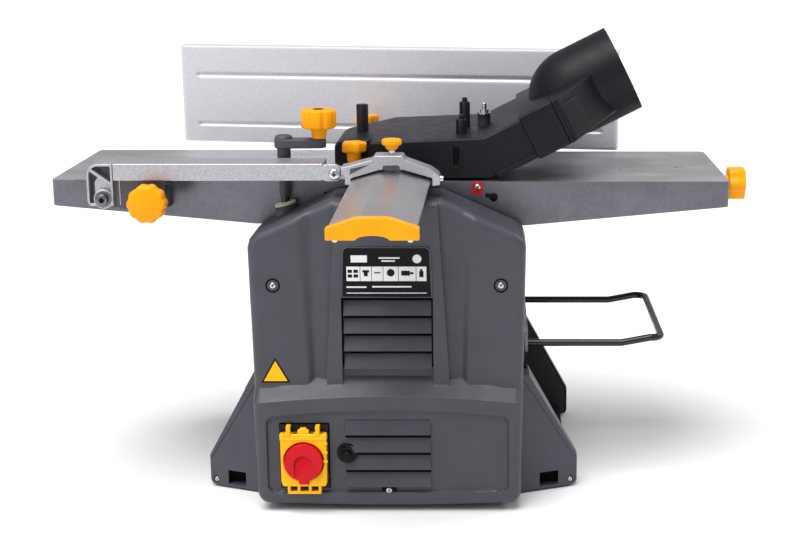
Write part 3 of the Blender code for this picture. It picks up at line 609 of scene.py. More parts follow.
def build_label():
    """Black rating plate with a raised rim and a strip of plain pictogram fields."""
    y = PILLAR_Y
    outline = [(-48.5, 233.5), (48.5, 233.5), (46.8, 283)]
    outline += [(41.8 + 5 * math.cos(a), 283 + 5 * math.sin(a))
                for a in [math.radians(15 * i) for i in range(1, 7)]]
    outline += [(-u, v) for u, v in reversed(outline[2:])]
    bm, done = piece("label_rim", CASING_GREY, "body", bevel=0.7)
    centre = (0, 260)
    inner = shrink(outline, centre, 0.955)
    sections = [[point("Y", u, v, w) for u, v in shape]
                for shape, w in ((outline, y + 1), (outline, y - 1.4), (inner, y - 1.4),
                                 (inner, y + 1))]
    add_loft(bm, sections, caps=False)
    done()
    bm, done = piece("label_plate", PLATE_BLACK, "body")
    add_prism(bm, "Y", shrink(outline, centre, 0.96), y - 0.5, y + 1)
    done()
    bm, done = piece("label_fields", PLATE_WHITE, "body")
    edges = [-42.0, -27.5, -15.5, -3.5, 12.5, 31.0, 42.0]
    front = y - 0.75
    for low, high in zip(edges, edges[1:]):
        add_box(bm, (low + 0.3, high - 0.3), (front, y), (251.5, 267))
    add_box(bm, (-37, -20), (front, y), (271.5, 279))
    add_prism(bm, "Y", ring(32, 275.2, 4.6, 28), front, y)
    for low, high, z in ((-8, 14, 275.4), (-5, 9, 272.2), (-42, -21, 244.2), (-15, 26, 244.6),
                         (-42, 42, 238.2)):
        add_box(bm, (low, high), (front, y), (z, z + (1.6 if z > 240 else 0.8)))
    done()
    bm, done = piece("label_pictograms", PLATE_BLACK, "body")
    for x, z, wide, tall in ((-38.2, 262, 4.6, 3.4), (-32, 262, 4.6, 3.4), (-38.2, 257, 4.6, 3.4),
                             (-32, 257, 4.6, 3.4), (-21.5, 262, 7, 2.4), (-21.5, 259, 4, 4.5),
                             (-9.5, 260.5, 6.5, 1.2), (20, 260, 9, 5.2), (26.5, 260, 3.6, 2.2),
                             (36.5, 259, 4.4, 6.5), (36.5, 263.4, 2.4, 2)):
        add_box(bm, (x - wide / 2, x + wide / 2), (front - 0.15, y), (z - tall / 2, z + tall / 2))
    add_prism(bm, "Y", ring(4.5, 260.5, 4.0, 24), front - 0.15, y)
    done()


# ---- carried-over CAD nodes ------------------------------------------------------------
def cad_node(name):
    return frame["nodes"][name]


def repaint(obj, material):
    if not obj.material_slots:
        obj.data.materials.append(material)
    for held in obj.material_slots:
        held.material = material


CARRIED = {
    "base_plate": (BLACK_STEEL, 0.4), "front_upright": (BLACK_STEEL, 0.5),
    "rear_upright": (BLACK_STEEL, 0.5),
    "front_foot_cover_left": (FOOT_GREY, 0.8), "front_foot_cover_right": (FOOT_GREY, 0.8),
    # The rear foot covers are the front covers' grey in shadow: black plastic on them is painted
    # shade.
    "rear_foot_cover_left": (BLACK_PLASTIC_AND_SHADE, 1.6), "rear_foot_cover_right": (BLACK_PLASTIC_AND_SHADE, 1.6),
    "rubber_foot_front_left": (RUBBER, 0.6), "rubber_foot_front_right": (RUBBER, 0.6),
    "rubber_foot_rear_left": (RUBBER, 0.6), "rubber_foot_rear_right": (RUBBER, 0.6),
    "guide_post_front": (BRIGHT, 0.0), "guide_post_rear": (BRIGHT, 0.0),
    "outfeed_table": (TABLE, 0.9), "infeed_table": (TABLE, 0.9),
    "cutter_block": (BRIGHT, 0.0), "knife_a": (BRIGHT, 0.0), "knife_b": (BRIGHT, 0.0),
    "front_bearing": (BLACK_STEEL, 0.5), "rear_bearing": (BLACK_STEEL, 0.5),
    "cutter_pulley": (BRIGHT, 0.3), "motor_pulley": (BRIGHT, 0.3), "drive_belt": (RUBBER, 0.5),
    "motor": (BLACK_STEEL, 0.8), "infeed_roller": (RUBBER, 0.4), "outfeed_roller": (RUBBER, 0.4),
    "feed_chain": (BRIGHT, 0.3), "kickback_fingers": (BRIGHT, 0.3),
    "thickness_table": (TABLE, 0.8), "bed_nut": (BRASS, 0.5),
    "guard_bracket": (BLACK_STEEL, 0.8),
    "fence_hinge": (BLACK_STEEL, 0.6), "fence_carriage": (CAST, 0.5),
    "fence_bracket": (BLACK_STEEL, 0.6), "switch_box": (BLACK_PLASTIC_AND_SHADE, 0.6),
    "start_button": (GREEN, 0.5), "stop_button": (RED, 0.5),
}


def dress_nodes():
    for name, (material, width) in CARRIED.items():
        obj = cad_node(name)
        repaint(obj, material)
        if width:
            soften(obj, width)


def build_tables():
    bm, done = piece("feed_arrow", PAINTED_SHADE_AND_PRINT, "infeed_bed")
    add_box(bm, (322, 330), (97.4, 98.6), (341.95, 342.08))
    add_prism(bm, "Z", [(318, 98), (322.5, 95.6), (322.5, 100.4)], 341.95, 342.08)
    done()
    bm, done = piece("depth_knob_star", YELLOW, rides_of("depth_knob"), "depth_knob", smooth=40)
    add_star(bm, "X", 98, 323.5, 19.5, 6, 2.4, 381, 400)
    add_turned(bm, "X", 98, 323.5, ((369.3, 9), (381.5, 9)), 32)
    done()
    bm, done = piece("pointer", RED, "infeed_bed", "depth_pointer", bevel=0.7)
    add_prism(bm, "Y", rounded((89, 100), (328, 342), 3.5), -3.4, -0.3)
    done()
    screw_head("pointer_screw", 94.5, 336.5, -3.3, 3.4, "infeed_bed")
    bm, done = piece("scale_screw", PLATE_BLACK, "infeed_bed", bevel=0.6)
    add_turned(bm, "Y", 112, 325, ((-0.2, 4.6), (-2.6, 4.6), (-3.2, 3.6)), 24)
    add_box(bm, (103, 109), (-2.6, -0.2), (325, 329))
    done()


def build_feet():
    """Leaning skins over the front foot covers, with a raised rim along the slanted edge."""
    hem = [(184, 2), (199, 2), (203, 3.5), (205, 7), (205, 33), (204, 37.5), (184, 74.2)]
    parts = [hem, [(184, 21), (184, 74.2), (163, 112.4), (163, 21)],
             [(184, 2), (184, 4.5), (163, 4.5), (163, 2)],
             [(163, 2), (163, 112.4), (150.5, 135.2), (143.6, 136), (141.8, 2)]]
    rim = [(205.3, 33), (204.3, 37.8), (150.8, 135.6), (143.6, 136.2), (143.6, 132.6),
           (202.2, 35)]
    for side, name in ((-1, "left"), (1, "right")):
        bm, done = piece("foot_skin_" + name, FOOT_GREY, "body", smooth=20)
        for part in parts:
            add_loft(bm, [[(side * u, lean(u), v) for u, v in part],
                          [(side * u, -19.6, v) for u, v in part]])
        done()
        bm, done = piece("foot_rim_" + name, FOOT_GREY, "body", bevel=0.5)
        add_loft(bm, [[(side * u, lean(u) - 0.9, v) for u, v in rim],
                      [(side * u, -18.0, v) for u, v in rim]])
        done()
        # Near-black box behind the cover's hole and near-black well round the screw: painted shade
        # inside them.
        bm, done = piece("foot_pocket_shade_" + name, PAINTED_SHADE_AND_PRINT, "body")
        add_box(bm, sorted((side * 161, side * 186)), (-19.8, -17), (3, 23))
        done()
        bm, done = piece("foot_screw_well_shade_" + name, PAINTED_SHADE_AND_PRINT, "body", smooth=50)
        add_turned(bm, "Y", side * 197.5, 9, ((-22, 3.6), (lean(197.5) - 0.4, 3.6)), 24)
        done()
        screw_head("foot_screw_" + name, side * 197.5, 9, lean(197.5) - 0.3, 2.5, "body")


def lean(across):
    """Depth of a foot cover's front: it comes forward towards the casing."""
    return -20.5 - 22.0 * (204.0 - across) / 56.0


def build_wire():
    """U-shaped rod: out along X, rising gently to its tip, across and back again."""
    low_y, high_y, low_z, tip_z, bend = 12.5, 208.0, 157.0, 163.0, 12.0
    rise_from, rise_to, reach = 255.0, 287.0, 300.0
    path = [(70, low_y, low_z), (rise_from, low_y, low_z), (rise_to, low_y, tip_z)]
    corners = ((low_y + bend, -1, range(7)), (high_y - bend, 1, range(6, -1, -1)))
    for corner_y, facing, turns in corners:
        for i in turns:
            a = math.radians(15 * i)
            path.append((reach - bend + bend * math.sin(a), corner_y + facing * bend * math.cos(a),
                         tip_z))
    path += [(rise_to, high_y, tip_z), (rise_from, high_y, low_z), (70, high_y, low_z)]
    points = [Vector(p) for p in path]
    sections = []
    for i, here in enumerate(points):
        along = (points[min(i + 1, len(points) - 1)] - points[max(i - 1, 0)]).normalized()
        side = along.cross(Vector((0, 0, 1))).normalized()
        up = side.cross(along)
        sections.append([tuple(here + side * u + up * v) for u, v in ring(0, 0, 4.0, 20)])
    bm, done = piece("wire_rod", WIRE_BLACK, "support", "wire_support", smooth=50)
    add_loft(bm, sections)
    done()


# ---- crank -----------------------------------------------------------------------------
def capsule(start, end, r0, r1, steps=14):
    """Outline round two circles lying along X."""
    outline = []
    for (cu, cv), radius, low in ((end, r1, -90), (start, r0, 90)):
        for i in range(steps + 1):
            angle = math.radians(low + 180 * i / steps)
            outline.append((cu + radius * math.cos(angle), cv + radius * math.sin(angle)))
    return outline


def build_crank():
    bm, done = piece("crank_shaft_tube", FOOT_GREY, "crank", "crank_shaft", smooth=50)
    add_turned(bm, "Z", CRANK_X, CRANK_Y, ((329, 6.0), (368, 6.4), (369, 7.2), (380.7, 7.2)),
               32)
    done()
    bm, done = piece("crank_screw_rod", WIRE_BLACK, "crank")
    add_turned(bm, "Z", CRANK_X, CRANK_Y, ((20, 4.9), (330, 4.9)), 24)
    done()
    bm, done = piece("crank_arm_bar", FOOT_GREY, "crank", "crank_arm", bevel=1.8)
    add_prism(bm, "Z", capsule((CRANK_X, CRANK_Y), (CRANK_X + 38, CRANK_Y), 10.2, 7.6), 381, 391)
    done()
    bm, done = piece("crank_arm_hub", FOOT_GREY, "crank", smooth=45)
    add_turned(bm, "Z", CRANK_X, CRANK_Y, ((380.8, 9), (384, 10), (392, 9.5), (394, 8.5),
                                           (395, 6)), 32)
    done()
    bm, done = piece("crank_knob_cap", YELLOW, "crank_handle", "crank_knob", smooth=40)
    x = CRANK_X + 38
    add_star(bm, "Z", x, CRANK_Y, 18.8, 8, 2.0, 402, 422.5, sharp=3.0, edge=2.6)
    add_turned(bm, "Z", x, CRANK_Y, ((391.4, 7.6), (399, 8.4), (403, 12)), 32)
    done()
    # Near-black disc on the knob's top: painted shade of its well.
    bm, done = piece("crank_knob_well_shade", PAINTED_SHADE_AND_PRINT, "crank_handle")
    add_turned(bm, "Z", x, CRANK_Y, ((422, 6.2), (422.7, 6.2), (422.75, 5.6)), 28)
    done()


# ---- guard -----------------------------------------------------------------------------
def build_guard():
    bm, done = piece("guard_arm_bar", CAST, "arm", "guard_arm", bevel=1.3)
    add_prism(bm, "X", [(-66, 354), (-66, 372), (-24.5, 372), (-24.5, 354), (-27.5, 354),
                        (-27.5, 369), (-63, 369), (-63, 354)], HEAD_RIGHT + 0.2, -66)
    done()
    bm, done = piece("guard_arm_tongue", CAST, "arm", bevel=1.0)
    add_prism(bm, "Y", rounded((-68, -47.6), (353.5, 371.5), 6), -66, -60)
    done()
    # cast head: a rim round a pocket whose floor is painted dark as shade, crossed by a slanting
    # rib
    left, right = PIVOT_X - 17, HEAD_RIGHT
    head = [(right, 327.5), (right, 371.8), (left + 12, 371.8)]
    head += [(left + 12 + 12 * math.cos(a), 359.8 + 12 * math.sin(a))
             for a in [math.radians(90 + 15 * i) for i in range(1, 7)]]
    head += [(left, 331), (left + 3, 327.5)]
    bm, done = piece("guard_arm_head", CAST, "arm", bevel=0.8)
    add_prism(bm, "Y", head, -56, -25)
    inner = rim_outline(head, 2.6)
    add_loft(bm, [[point("Y", u, v, w) for u, v in shape]
                  for shape, w in ((head, -56), (head, -66), (inner, -66), (inner, -56))],
             caps=False)
    done()
    # Pocket floor in the darker cast: painted shade.
    bm, done = piece("guard_arm_pocket_shade", DARK_CAST_AND_PAINTED_SHADE, "arm")
    add_prism(bm, "Y", rim_outline(head, 2.4), -56.6, -55.8)
    done()
    bm, done = piece("guard_arm_rib", CAST, "arm", bevel=0.6)
    add_prism(bm, "Y", [(left + 3, 364), (left + 5, 367), (right - 1, 351), (right - 1, 347.5)],
              -65.5, -56)
    add_prism(bm, "Y", [(left + 7, 328.5), (left + 7, 352), (left + 11, 358), (right - 1, 349),
                        (right - 1, 328.5)], -61, -56)
    done()
    bm, done = piece("guard_arm_boss", CAST, "arm", smooth=45)
    add_turned(bm, "Y", PIVOT_X, 335, ((-60, 10.5), (-66.4, 10.2), (-67, 9.4)), 36)
    done()
    bm, done = piece("pivot_washer", DULL_STEEL, "arm", smooth=45)
    add_turned(bm, "Y", PIVOT_X, 335, ((-67, 8.8), (-68.4, 8.8), (-68.5, 7), (-68.6, 6.2),
                                    (-74, 6.2), (-74.8, 5.4), (-74.9, 3.2)), 36)
    done()
    # Near-black hexagon on the pivot's end: painted shade of its socket.
    bm, done = piece("pivot_socket_shade", PAINTED_SHADE_AND_PRINT, "arm")
    add_prism(bm, "Y", ring(PIVOT_X, 335, 3.1, 6), -75.0, -74.6)
    done()
    bm, done = piece("guard_slot_plate", DARK_CAST_AND_PAINTED_SHADE, "arm", bevel=0.5)
    low, high = STUD_X - 40, STUD_X + 13
    add_prism(bm, "Y", [(low, 329), (low, 354), (high, 354), (high, 326), (high - 6, 318),
                        (low + 6, 324)], -62, -57.5)
    done()
    bm, done = piece("guard_slot_plate_edge", CAST, "arm", bevel=0.4)
    add_box(bm, (low + 6, low + 7.2), (-62.8, -61.9), (328, 354))
    done()
    bm, done = piece("arm_washer", BLACK_STEEL, "arm_knob", smooth=45)
    add_turned(bm, "Y", STUD_X, 334, ((-72, 15), (-67.5, 15), (-67.2, 13)), 36)
    done()
    bm, done = piece("arm_knob_star", YELLOW, "arm_knob", "arm_clamp_knob", smooth=40)
    add_star(bm, "Y", STUD_X, 334, 20, 10, 1.3, -76, -96, sharp=1.4, edge=3.2)
    add_turned(bm, "Y", STUD_X, 334, ((-77, 12), (-72, 12)), 32)
    add_turned(bm, "Y", STUD_X, 334, ((-72, 3.4), (-6, 3.4)), 20)
    done()
    screw_head("guard_pivot_screw", -54, 361, -66, 6.2, "arm")

    # clamp casting: a hollow lug, a raised middle over a window, and a falling right arm
    bridge = [(-43, 350), (-43, 359), (-47, 361), (-47, 368), (-40, 369.5), (-15, 376),
              (-12, 380.5), (17, 380.5), (20, 376), (46, 366.5), (54, 361), (56, 357), (56, 350),
              (48, 348.5), (48, 357), (18, 366), (14.5, 366), (13.5, 370.5), (-2.5, 370.5),
              (-3.5, 366), (-7, 366), (-36.8, 357), (-36.8, 350)]
    bm, done = piece("guard_clamp_casting", CAST, "clamp", "guard_clamp", bevel=0.9)
    add_prism(bm, "Y", bridge, -67, -40)
    done()
    # Darker cast sheet in the window and block in the middle's notch: painted shade of the
    # openings.
    bm, done = piece("clamp_opening_shade", DARK_CAST_AND_PAINTED_SHADE, "clamp")
    add_prism(bm, "Y", [(-38, 361), (-37, 367), (-17, 371.4)], -67.3, -66.5)
    add_prism(bm, "Y", rounded((-2.4, 13.4), (366.1, 370.4), 0.6), -66.4, -60)
    done()
    bm, done = piece("clamp_side_bolt", BRIGHT, "clamp", smooth=45)
    add_turned(bm, "X", -56, 354.5, ((55.5, 3.8), (59, 3.8), (59.5, 3)), 24)
    done()
    bm, done = piece("clamp_lug", CAST, "clamp", bevel=0.8)
    add_box(bm, (-66, -42), (-59, -45), (354.5, 367))
    done()

    # folded blade, rising a little towards the fence, and its yellow end cap
    fold, half = 12.5, 41.0
    roof = [(-half, 347.6), (-half + 1.2, 348.2), (-fold, 355.6), (-fold + 1.5, 355.9),
            (fold - 1.5, 355.9), (fold, 355.6), (half - 1.2, 348.2), (half, 347.6)]
    roof += [(u, v - 2.4) for u, v in reversed(roof)]
    sections = []
    for i in range(9):
        y = -250 + 242 * i / 8
        middle, lift = 0.2 + 0.025 * (y + 250), -3.0 + 0.055 * (y + 250)
        sections.append([(middle + u, y, v + lift) for u, v in roof])
    bm, done = piece("guard_blade_roof", BLADE, "guard", "guard_blade", smooth=12)
    add_loft(bm, sections)
    done()
    cap = [(-43.5, 332.3), (-43.5, 343.8), (-40, 344.8), (-18, 352.4), (-13, 353.4),
           (13, 353.4), (18, 352.4), (40, 344.8), (43.5, 343.8), (43.5, 332.3), (15.5, 332.3)]
    cap += [(15.5 * math.cos(a), 332.3 + 4.4 * math.sin(a))
            for a in [math.radians(15 * i) for i in range(1, 12)]]
    cap += [(-15.5, 332.3)]
    bm, done = piece("guard_cap", YELLOW, "guard", "guard_end_cap", bevel=1.1)
    add_prism(bm, "Y", cap, -262, -250.3)
    done()
    bm, done = piece("guard_cap_bolts", BRIGHT, "guard", smooth=45)
    for x in (-35, 35):
        add_turned(bm, "Z", x, -255, ((329.6, 2.0), (330.2, 2.6), (332.6, 2.6)), 20)
    done()
    bm, done = piece("guard_knob_head", YELLOW, "guard_knob", "guard_clamp_knob", smooth=40)
    add_star(bm, "Z", CLAMP_X, CLAMP_Y, 10.4, 16, 0.7, 390, 396.5, edge=1.4)
    add_turned(bm, "Z", CLAMP_X, CLAMP_Y, ((385.2, 4.6), (387, 6.6), (390.2, 7.6)), 32)
    done()
    bm, done = piece("guard_knob_screw", BRIGHT, "guard_knob", smooth=50)
    add_turned(bm, "Z", CLAMP_X, CLAMP_Y, ((357, 2.4), (382.5, 2.4), (382.6, 3.6), (384, 3.6),
                                       (384.1, 2.4), (386, 2.4)), 20)
    done()


def rim_outline(outline, inset=0.0):
    """The outline moved inward by a wall's thickness."""
    count = len(outline)
    area = sum(outline[i][0] * outline[(i + 1) % count][1]
               - outline[(i + 1) % count][0] * outline[i][1] for i in range(count))
    turn = 1 if area > 0 else -1
    moved = []
    for i, here in enumerate(outline):
        before, after = Vector(outline[i - 1]), Vector(outline[(i + 1) % count])
        spot = Vector(here)
        a, b = (spot - before).normalized(), (after - spot).normalized()
        na, nb = Vector((-a.y, a.x)) * turn, Vector((-b.y, b.x)) * turn
        normal = (na + nb).normalized()
        scale = inset / max(0.35, normal.dot(na))
        moved.append(tuple(spot + normal * scale))
    return moved


# ---- hood and outlet -------------------------------------------------------------------
def on_duct(along, across):
    c, s = math.cos(DUCT_ANGLE), math.sin(DUCT_ANGLE)
    return (DUCT_START[0] + along * c - across * s, DUCT_START[1] + along * s + across * c)


def build_hood():
    half = 22.0
    profile = [(-63, 345), (-63, 378), (-57, 383), (96, 389), on_duct(-30, half),
               on_duct(20, half), on_duct(20, -half), on_duct(-34, -half), (108, 345)]
    bm, done = piece("hood_shell", BLACK_PLASTIC_AND_SHADE, "hood", "chip_hood", bevel=3.6, segments=4)
    add_prism(bm, "Y", profile, 3, 212)
    (ax, ay), (bx, by) = (-63, 120), (-8, 212)      # the slanted rear corner
    bmesh.ops.bisect_plane(bm, geom=bm.verts[:] + bm.edges[:] + bm.faces[:], dist=1e-4,
                           plane_co=(ax, ay, 0), plane_no=(-(by - ay), bx - ax, 0),
                           clear_outer=True)
    bmesh.ops.holes_fill(bm, edges=[e for e in bm.edges if e.is_boundary], sides=0)
    notch = bmesh.new()
    add_box(notch, (-70, -23), (-5, 27), (351, 400))
    shell = done()
    cutter = finish_mesh("notch_tool", notch, BLACK_PLASTIC_AND_SHADE, "hood")
    step = shell.modifiers.new("notch", "BOOLEAN")
    step.operation = "DIFFERENCE"
    step.solver = "EXACT"
    step.object = cutter
    shell.modifiers.move(1, 0)
    bpy.context.view_layer.update()
    graph = bpy.context.evaluated_depsgraph_get()
    shell.modifiers["soft edges"].show_viewport = False
    bpy.context.view_layer.update()
    cut_mesh = bpy.data.meshes.new_from_object(shell.evaluated_get(graph))
    shell.modifiers.remove(step)
    shell.modifiers["soft edges"].show_viewport = True
    shell.data = cut_mesh
    cut_mesh.set_sharp_from_angle(angle=math.radians(35))
    bpy.data.objects.remove(cutter)

    for name, x, y, radius, low, high in (("post", -37.5, 97, 6.8, 380, 414.5),
                                          ("pin_front", 76, 50, 6.0, 386, 404),
                                          ("pin_rear", 79, 100, 6.0, 386, 417)):
        bm, done = piece("hood_" + name, BLACK_PLASTIC_AND_SHADE, "hood", smooth=45)
        add_turned(bm, "Z", x, y, ((low, radius + 0.8), (low + 4, radius), (high - 0.8, radius),
                                   (high, radius - 0.8)), 32)
        if "pin" in name:
            add_turned(bm, "Z", x, y, ((high - 1, 3.2), (high + 4, 3.0), (high + 4.8, 2.2)), 24)
            for i in range(4):
                angle = math.radians(45 + 90 * i)
                u, v = x + radius * math.cos(angle), y + radius * math.sin(angle)
                add_prism(bm, "Z", ring(u, v, 1.3, 12), low, high - 1)
        done()
    bm, done = piece("hood_bumper", RUBBER, "hood", smooth=45)
    add_turned(bm, "Z", 101, 102, ((386, 8), (389, 7.4), (403, 7.2)), 32)
    done()
    bm, done = piece("hood_bumper_bolt", BRIGHT, "hood", smooth=40)
    add_turned(bm, "Z", 101, 102, ((403, 8.6), (404.6, 8.6), (404.7, 5.2), (408, 5.2),
                                   (408.1, 2.9), (415, 2.9), (415.6, 2.2)), 32)
    done()
    bm, done = piece("hood_flange", BLACK_PLASTIC_AND_SHADE, "hood", bevel=0.8)
    add_box(bm, (-62.8, -22), (3.2, 28), (345.2, 351))
    add_box(bm, (-23.5, -21.5), (2.2, 27), (351, 381))
    done()
    # U-shaped rib round a slot on the front wall
    bm, done = piece("hood_slot_rib", BLACK_PLASTIC_AND_SHADE, "hood", bevel=0.5)
    middle = 71.2
    outer = [(middle + 6.4, 379)] + [(middle + 6.4 * math.cos(a), 362 + 6.4 * math.sin(a))
                                     for a in [math.radians(-15 * i) for i in range(13)]]
    inner = [(middle - 3.6, 379)] + [(middle + 3.6 * math.cos(a), 362 + 3.6 * math.sin(a))
                                     for a in [math.radians(180 + 15 * i) for i in range(13)]]
    outline = outer + [(middle - 6.4, 379)] + inner + [(middle + 3.6, 379)]
    add_prism(bm, "Y", outline, 0.6, 4)
    done()
    # Near-black box in the slot: painted shade of the opening.
    bm, done = piece("hood_slot", PAINTED_SHADE_AND_PRINT, "hood")
    add_box(bm, (68, 74.4), (2.4, 4), (361, 379))
    done()
    # lower lip along the duct
    bm, done = piece("duct_lip", BLACK_PLASTIC_AND_SHADE, "hood", bevel=0.8)
    lip = [on_duct(-37, -half + 4), on_duct(12, -half + 4), on_duct(12, -half - 1.5),
           on_duct(-37, -half - 1.5)]
    add_prism(bm, "Y", lip, 0.8, 8)
    done()
    bm, done = piece("hood_star", YELLOW, "hood_screw", "hood_knob", smooth=40)
    add_star(bm, "Z", -40, 11, 14.2, 5, 3.4, 373, 384, edge=1.8)
    add_turned(bm, "Z", -40, 11, ((362, 6.4), (364, 7.6), (373.4, 7.8)), 32)
    add_turned(bm, "Z", -40, 11, ((351.5, 3), (363, 3)), 20)
    done()

    build_adapter()


def across_duct(along, outline):
    """An outline (Y offset, height) standing across the duct."""
    return [(on_duct(along, v)[0], PIPE_Y + u, on_duct(along, v)[1]) for u, v in outline]


def build_adapter():
    wide, high = 107.0, 26.0
    bm, done = piece("adapter_socket", BLACK_PLASTIC_AND_SHADE, "adapter", "outlet_adapter", bevel=2.4, segments=3)
    box_outline = rounded((-wide, wide), (-high, high), 3.5, 4)
    inside = rounded((-wide + 3.2, wide - 3.2), (-high + 3.2, high - 3.2), 2.0, 4)
    add_loft(bm, [across_duct(18, inside), across_duct(12, inside),
                  across_duct(12, box_outline), across_duct(50, box_outline)], caps=False)
    done()
    # flanks taper from the wide socket to the pipe
    bm, done = piece("adapter_flanks", BLACK_PLASTIC_AND_SHADE, "adapter", bevel=2.6, segments=4)
    sections = []
    for along, half in ((49.5, wide - 1), (56, wide - 1), (100, 52), (116, 30)):
        sections.append(across_duct(along, [(half, high), (-half, high), (-half, -high),
                                            (half, -high)]))
    add_loft(bm, sections)
    done()
    bm, done = piece("adapter_ridge", BLACK_PLASTIC_AND_SHADE, "adapter", bevel=1.6, segments=4)
    for side in (-1, 1):
        ridge = [across_duct(a, [(side * (w + 1.5), 17), (side * (w - 6), 17),
                                 (side * (w - 6), -21), (side * (w + 1.5), -21)])
                 for a, w in ((54, wide - 2), (58, wide - 1.5), (72, wide - 17), (80, wide - 27))]
        add_loft(bm, ridge)
    done()
    bm, done = piece("adapter_pipe", BLACK_PLASTIC_AND_SHADE, "adapter", smooth=30)
    outer = []
    for i in range(21):
        turn = math.radians(4 + 86 * i / 20)
        outer.append((81 - 57 * math.cos(turn), PIPE_R * math.sin(turn)))
    outer.append((PIPE_END, PIPE_R))
    rings = [across_duct(a, [(u, v + PIPE_LIFT) for u, v in ring(0, 0, r, 72)]) for a, r in outer]
    rings.append(across_duct(PIPE_END, [(u, v + PIPE_LIFT) for u, v in ring(0, 0, 47, 72)]))
    rings.append(across_duct(84, [(u, v + PIPE_LIFT) for u, v in ring(0, 0, 46, 72)]))
    add_loft(bm, rings)
    done()


# ---- fence -----------------------------------------------------------------------------
def build_fence():
    along = (FENCE_RIGHT - FENCE_LEFT).normalized()
    back = Vector((-along.y, along.x))
    length = (FENCE_RIGHT - FENCE_LEFT).length

    def spot(s, depth, z):
        p = FENCE_LEFT + along * s + back * depth
        return (p.x, p.y, z)

    ss = stations(0, length, 6.0, [])
    ss = sorted(set(ss) | {1, 2, 3.5, 5, 7, length - 7, length - 5, length - 3.5, length - 2,
                           length - 1, 20, 22, 24, 26, 28, 30, length - 30, length - 26,
                           length - 22, length - 18})
    zs = stations(FENCE_LOW, FENCE_HIGH, 4.0, [])
    zs = sorted(set(zs) | {FENCE_LOW + d for d in (1, 2.5, 5)}
                | {FENCE_HIGH - d for d in (1, 2.5, 5)}
                | {g + d for g in (365, 427) for d in (-3.6, -2.4, -1.2, 0, 1.2, 2.4, 3.6)})
    bm = bmesh.new()

    def depth(s, z):
        value = 0.0
        for groove in (365, 427):
            gap = max(24 - s, s - (length - 22), 0.0)
            reach = math.hypot(gap, z - groove)
            value += 2.2 * (1 - smoothstep(reach, 0.6, 3.6))
        edge = min(s, length - s)
        rim = min(z - FENCE_LOW, FENCE_HIGH - z)
        for distance, size in ((edge, 5.0), (rim, 3.0)):
            if distance < size:
                value += size - math.sqrt(max(0.0, size ** 2 - (size - distance) ** 2))
        return value

    grid = [[bm.verts.new(spot(s, depth(s, z), z)) for s in ss] for z in zs]
    for low, high in zip(grid, grid[1:]):
        for i in range(len(ss) - 1):
            bm.faces.new((low[i], low[i + 1], high[i + 1], high[i]))
    rim = [e for e in bm.edges if e.is_boundary]
    walls = bmesh.ops.extrude_edge_only(bm, edges=rim)
    for item in walls["geom"]:
        if isinstance(item, bmesh.types.BMVert):
            s = (Vector(item.co[:2]) - FENCE_LEFT).dot(along)
            item.co = spot(min(max(s, 0), length), 14, item.co.z)
    obj = finish_mesh("fence_plate", bm, FENCE, "fence_face", "fence", smooth=40)
    shell = obj.modifiers.new("sheet", "SOLIDIFY")
    shell.thickness = 0.0025
    shell.offset = -1

    x, y = -45, 240
    bm, done = piece("fence_star", YELLOW, "fence_screw", "fence_knob", smooth=40)
    add_star(bm, "Z", x, y, 15, 5, 3.6, 372, 384, edge=1.8)
    add_turned(bm, "Z", x, y, ((350.5, 8), (372.4, 8)), 32)
    done()


